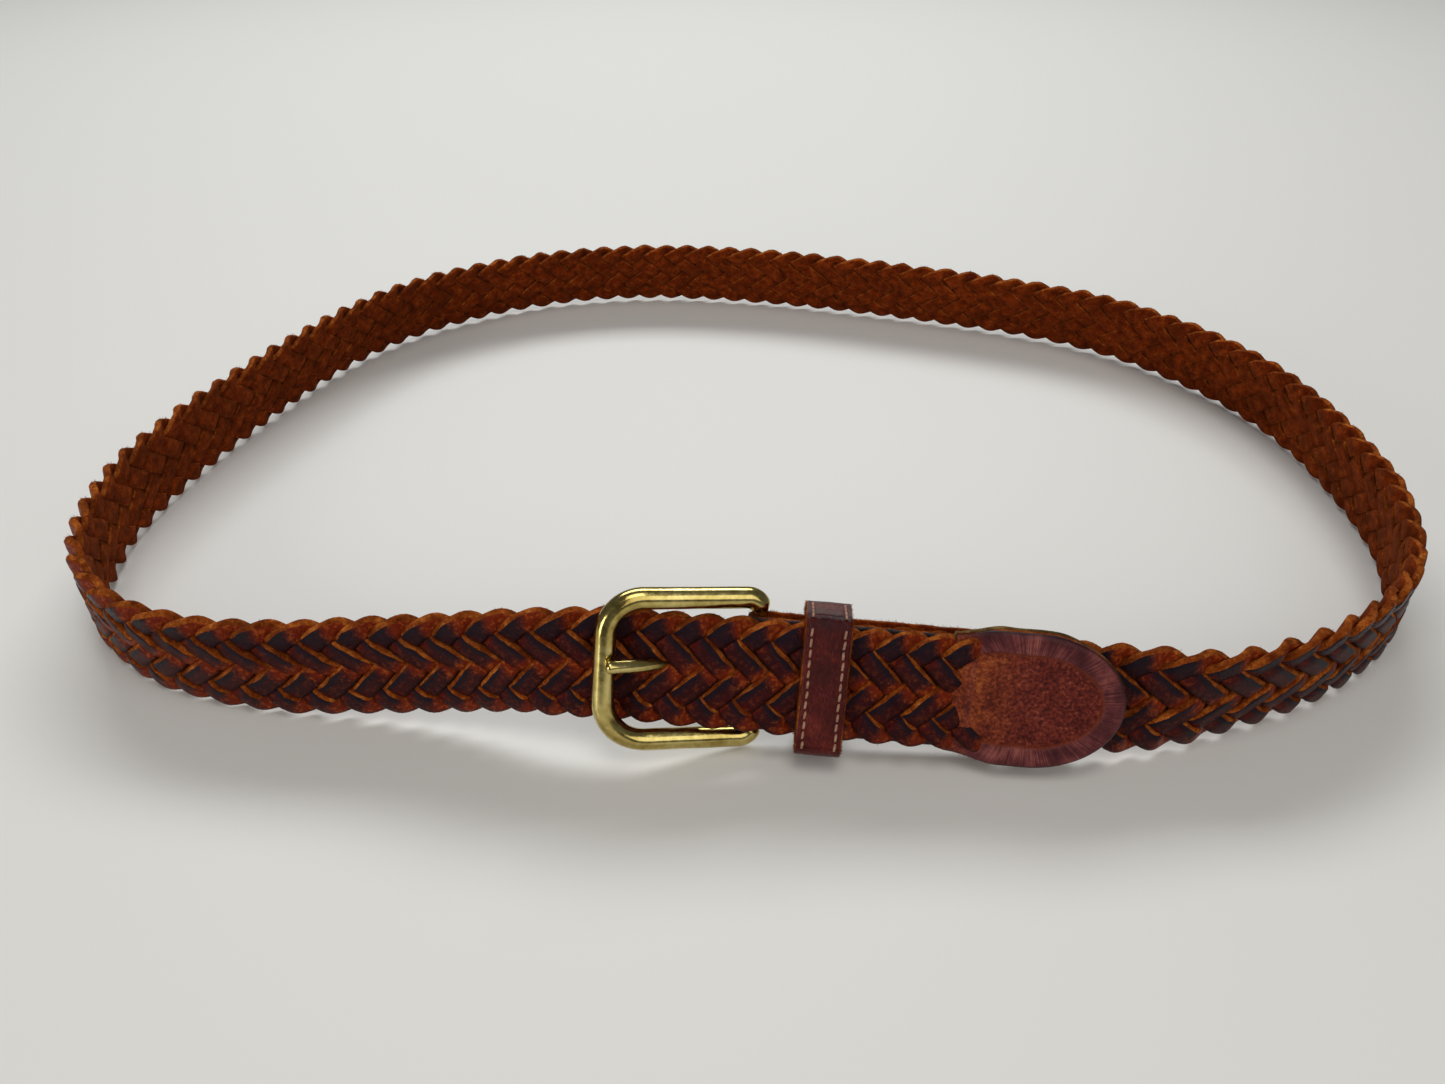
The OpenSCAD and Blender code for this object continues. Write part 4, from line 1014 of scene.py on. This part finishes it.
def tip():
    n = 300
    out, arc = tip_outline(n)
    cen = np.array([64.5, 0.0])
    # inward distances of the rings
    rho = np.concatenate([[1.0, 0.9965, 0.990, 0.981, 0.97, 0.955, 0.935, 0.91, 0.88], np.linspace(0.85, 0.60, 22), np.linspace(0.58, 0.06, 26)])
    front = -7.9
    V, RIM, WARM, GR, ED = [], [], [], [], []
    rr = np.random.default_rng(5)
    phs = rr.uniform(0, 6.28, 6)
    rows = []
    # distance from the outline of any point
    def edge_dist(q):
        d = np.sqrt(((q[:, None] - out[None])**2).sum(2))
        return d.min(1)
    seam = 0.22*np.interp(np.arange(n), np.arange(n), 0.6*vnoise(arc, 811, 3.0) + 0.4*vnoise(arc, 812, 1.1))
    seam[-20:] = seam[-20:]*(1 - smooth01(np.arange(20)/19)) + seam[0]*smooth01(np.arange(20)/19)
    for k, r0 in enumerate(rho):
        q = cen + (out - cen)*r0
        nrm = out - cen; nrm = nrm/np.linalg.norm(nrm, axis=1)[:, None]
        if k < 4: q = q + nrm*(seam*0.5)[:, None]
        d = edge_dist(q) if k else np.zeros(n)
        left = smooth01((54.5 - q[:, 0])/6.0)                 # 1 at the neck
        sidef = smooth01((np.abs(q[:, 1]) - 8.5)/3.0)         # 1 near the long edges
        rimw = (1 - smooth01((d - 4.9)/0.7))*(1 - left*(1-sidef))
        rimw = rimw*(1 - 0.80*smooth01((53.5 - q[:, 0])/5.0))
        # the rim: rounded over at the edge, slightly crowned
        hgt = 0.42*rimw*(0.75 + 0.25*np.sin(np.clip(d/5.0, 0, 1)*math.pi))
        hgt -= 1.05*(1 - np.sqrt(np.clip(1 - (1 - np.clip(d/1.5, 0, 1))**2, 0, 1)))
        gd = (d - 5.45)/0.38
        groove = np.exp(-gd*gd)*(1 - smooth01((56 - q[:, 0])/5.0))
        hgt -= 0.20*groove
        # a soft dish towards the panel, and the neck running down between the laces
        panel = 1 - rimw
        x, z = q[:, 0], q[:, 1]
        und = sum(math.cos(p_)*0 + np.sin(0.33*x*(1+0.3*i) + p_)*np.cos(0.41*z*(1+0.25*i) + 2*p_) for i, p_ in enumerate(phs))
        hgt += 0.045*und*panel
        fine = vnoise(x*1.0 + z*0.37, 841, 0.8)*vnoise(z*1.0 - x*0.29, 842, 0.8)
        hgt += 0.07*fine*panel*smooth01(d/2.0)
        zf = smooth01((np.abs(z) - 7.5)/4.0)
        hgt -= 1.55*smooth01((52.0 + 8.5*zf - x)/(6.5 + 2.0*zf))
        y = front + 0.42 - hgt
        rows.append(np.stack([x, y, z], 1))
        RIM.append(rimw); WARM.append(np.clip(smooth01((66 - x)/15)*0.9, 0, 1)*panel); GR.append(groove); ED.append(np.exp(-(d/0.45)**2))
    # back of the top leather, two rings
    yb = -4.95
    for r0, yy in ((1.0, yb - 0.45), (0.985, yb), (0.5, yb), (0.06, yb)):
        q = cen + (out - cen)*r0
        rows.append(np.stack([q[:, 0], np.full(n, yy), q[:, 1]], 1))
        for A_, v_ in ((RIM, 1), (WARM, 0), (GR, 0), (ED, 1 if r0 > 0.9 else 0)): A_.append(np.full(n, float(v_)))
    nf = len(rho)
    order = list(range(nf-1, -1, -1)) + list(range(nf, nf+4))     # centre front -> edge -> centre back
    R = np.stack([rows[i] for i in order], 0)
    at = {"rim": np.stack([RIM[i] for i in order]).ravel(), "warm": np.stack([WARM[i] for i in order]).ravel(),
          "groove": np.stack([GR[i] for i in order]).ravel(), "edge": np.stack([ED[i] for i in order]).ravel()}
    faces, mi = ring_faces(len(order), n, False, None, True)
    kk = np.array([rho[i] if i < nf else (1.0, 0.985, 0.5, 0.06)[i-nf] for i in order])
    uv = np.stack([np.tile(arc*0.01, len(order)), np.repeat((1-kk)*0.2, n)], 1)
    strip = []
    mi = []
    for i in range(len(order)-1):
        mi += [1 if order[i+1] == nf or (order[i] == nf) else 0]*n
    mi += [0, 0]
    ob = new_object("tip_top_leather", g(R.reshape(-1, 3)), faces, [M_TIP, M_EDGE], mi, uv, at)
    outward(ob)
    # fibres on the long edges and round the end
    r = np.random.default_rng(91); k = 500
    i = r.integers(0, n, k); keep = out[i, 0] > 48; i = i[keep]; k = len(i)
    nrm = out - cen; nrm = nrm/np.linalg.norm(nrm, axis=1)[:, None]
    base = np.stack([out[i, 0], r.uniform(-6.6, -5.0, k), out[i, 1]], 1)
    dr = np.stack([nrm[i, 0], r.normal(0, 0.3, k), nrm[i, 1]], 1)
    add_fuzz(ob, g(base), dr @ G.T, 0.38, 0.03, 92, 1)
    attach(ob, "tip"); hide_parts("tip_top")
    # lining: a plain second layer with a cut edge, a hair larger
    rows = []
    wav = 0.16*vnoise(arc, 821, 5.0); wav[-20:] = wav[-20:]*(1 - smooth01(np.arange(20)/19)) + wav[0]*smooth01(np.arange(20)/19)
    nrm2 = nrm
    def ringp(grow, yy, r0=1.0):
        q = cen + (out - cen)*r0 + nrm2*(grow + wav*(1 if r0 > 0.9 else 0))[:, None]
        return np.stack([q[:, 0], np.full(n, yy), q[:, 1]], 1)
    seq = [(0, -4.9, 0.06), (0, -4.9, 0.5), (0.05, -4.9, 0.985), (0.25, -4.72, 1.0), (0.30, -4.3, 1.0), (0.22, -3.8, 1.0), (0.0, -3.52, 0.985), (0, -3.5, 0.5), (0, -3.5, 0.06)]
    R = np.stack([ringp(np.full(n, gr), yy, r0) for gr, yy, r0 in seq], 0)
    faces, _ = ring_faces(len(seq), n, False, None, True)
    mi = []
    for i in range(len(seq)-1): mi += [1 if 2 <= i <= 5 else 0]*n
    mi += [0, 0]
    uv = np.stack([np.tile(arc*0.01, len(seq)), np.repeat(np.array([q[2] for q in seq])*0.2, n)], 1)
    ob = new_object("tip_lining_leather", g(R.reshape(-1, 3)), faces, [M_FLESH, M_TIPEDGE], mi, uv)
    outward(ob)
    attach(ob, "tip"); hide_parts("tip_lining")
tip()

# ------------------------------------------------------------------ stage
def plain(name, col, rough):
    m, nt, bs = mat(name)
    bs.inputs["Base Color"].default_value = (*col, 1)
    bs.inputs["Roughness"].default_value = rough
    return m
bpy.ops.mesh.primitive_plane_add(size=6, location=(0, 0, -0.0006))
floor = bpy.context.object
floor.name = "floor"
floor.data.materials.append(plain("floor_pale", (0.72, 0.695, 0.645), 0.55))

cam = bpy.data.cameras.new("camera")
cam.lens = 27.03; cam.sensor_width = 36; cam.sensor_fit = "HORIZONTAL"
cam.clip_start, cam.clip_end = 0.01, 20
co = bpy.data.objects.new("camera", cam)
co.location = (-0.009 + CX*MM, -0.328 + CY*MM, 0.2025)
co.rotation_euler = (math.radians(53.8), 0, 0)
bpy.context.scene.collection.objects.link(co)
bpy.context.scene.camera = co

def area(name, loc, target, size, power, col=(1, 1, 1), size_y=None):
    l = bpy.data.lights.new(name, "AREA")
    l.energy = power; l.size = size; l.color = col
    if size_y: l.shape = "RECTANGLE"; l.size_y = size_y
    o = bpy.data.objects.new(name, l)
    o.location = loc
    o.rotation_euler = (Vector(target) - Vector(loc)).to_track_quat("-Z", "Y").to_euler()
    bpy.context.scene.collection.objects.link(o)
area("key_window", (-0.12, 1.05, 1.15), (0, 0, 0), 1.5, 17.5, (0.93, 0.97, 1.0), 0.5)
area("fill_front", (0.7, -1.3, 1.1), (0, 0, 0), 1.2, 7.0, (1.0, 0.98, 0.95))
area("strip_left", (-0.95, -0.85, 0.34), (0, -0.1, 0.02), 0.30, 4.6, (1.0, 0.99, 0.97), 0.6)
area("fill_top", (0.1, -0.5, 1.6), (0, -0.1, 0), 0.8, 7.0)
w = bpy.data.worlds.new("world"); bpy.context.scene.world = w
w.use_nodes = True
w.node_tree.nodes["Background"].inputs[0].default_value = (0.9, 0.93, 1.0, 1)
w.node_tree.nodes["Background"].inputs[1].default_value = 0.13
bpy.context.scene.view_settings.view_transform = "Standard"
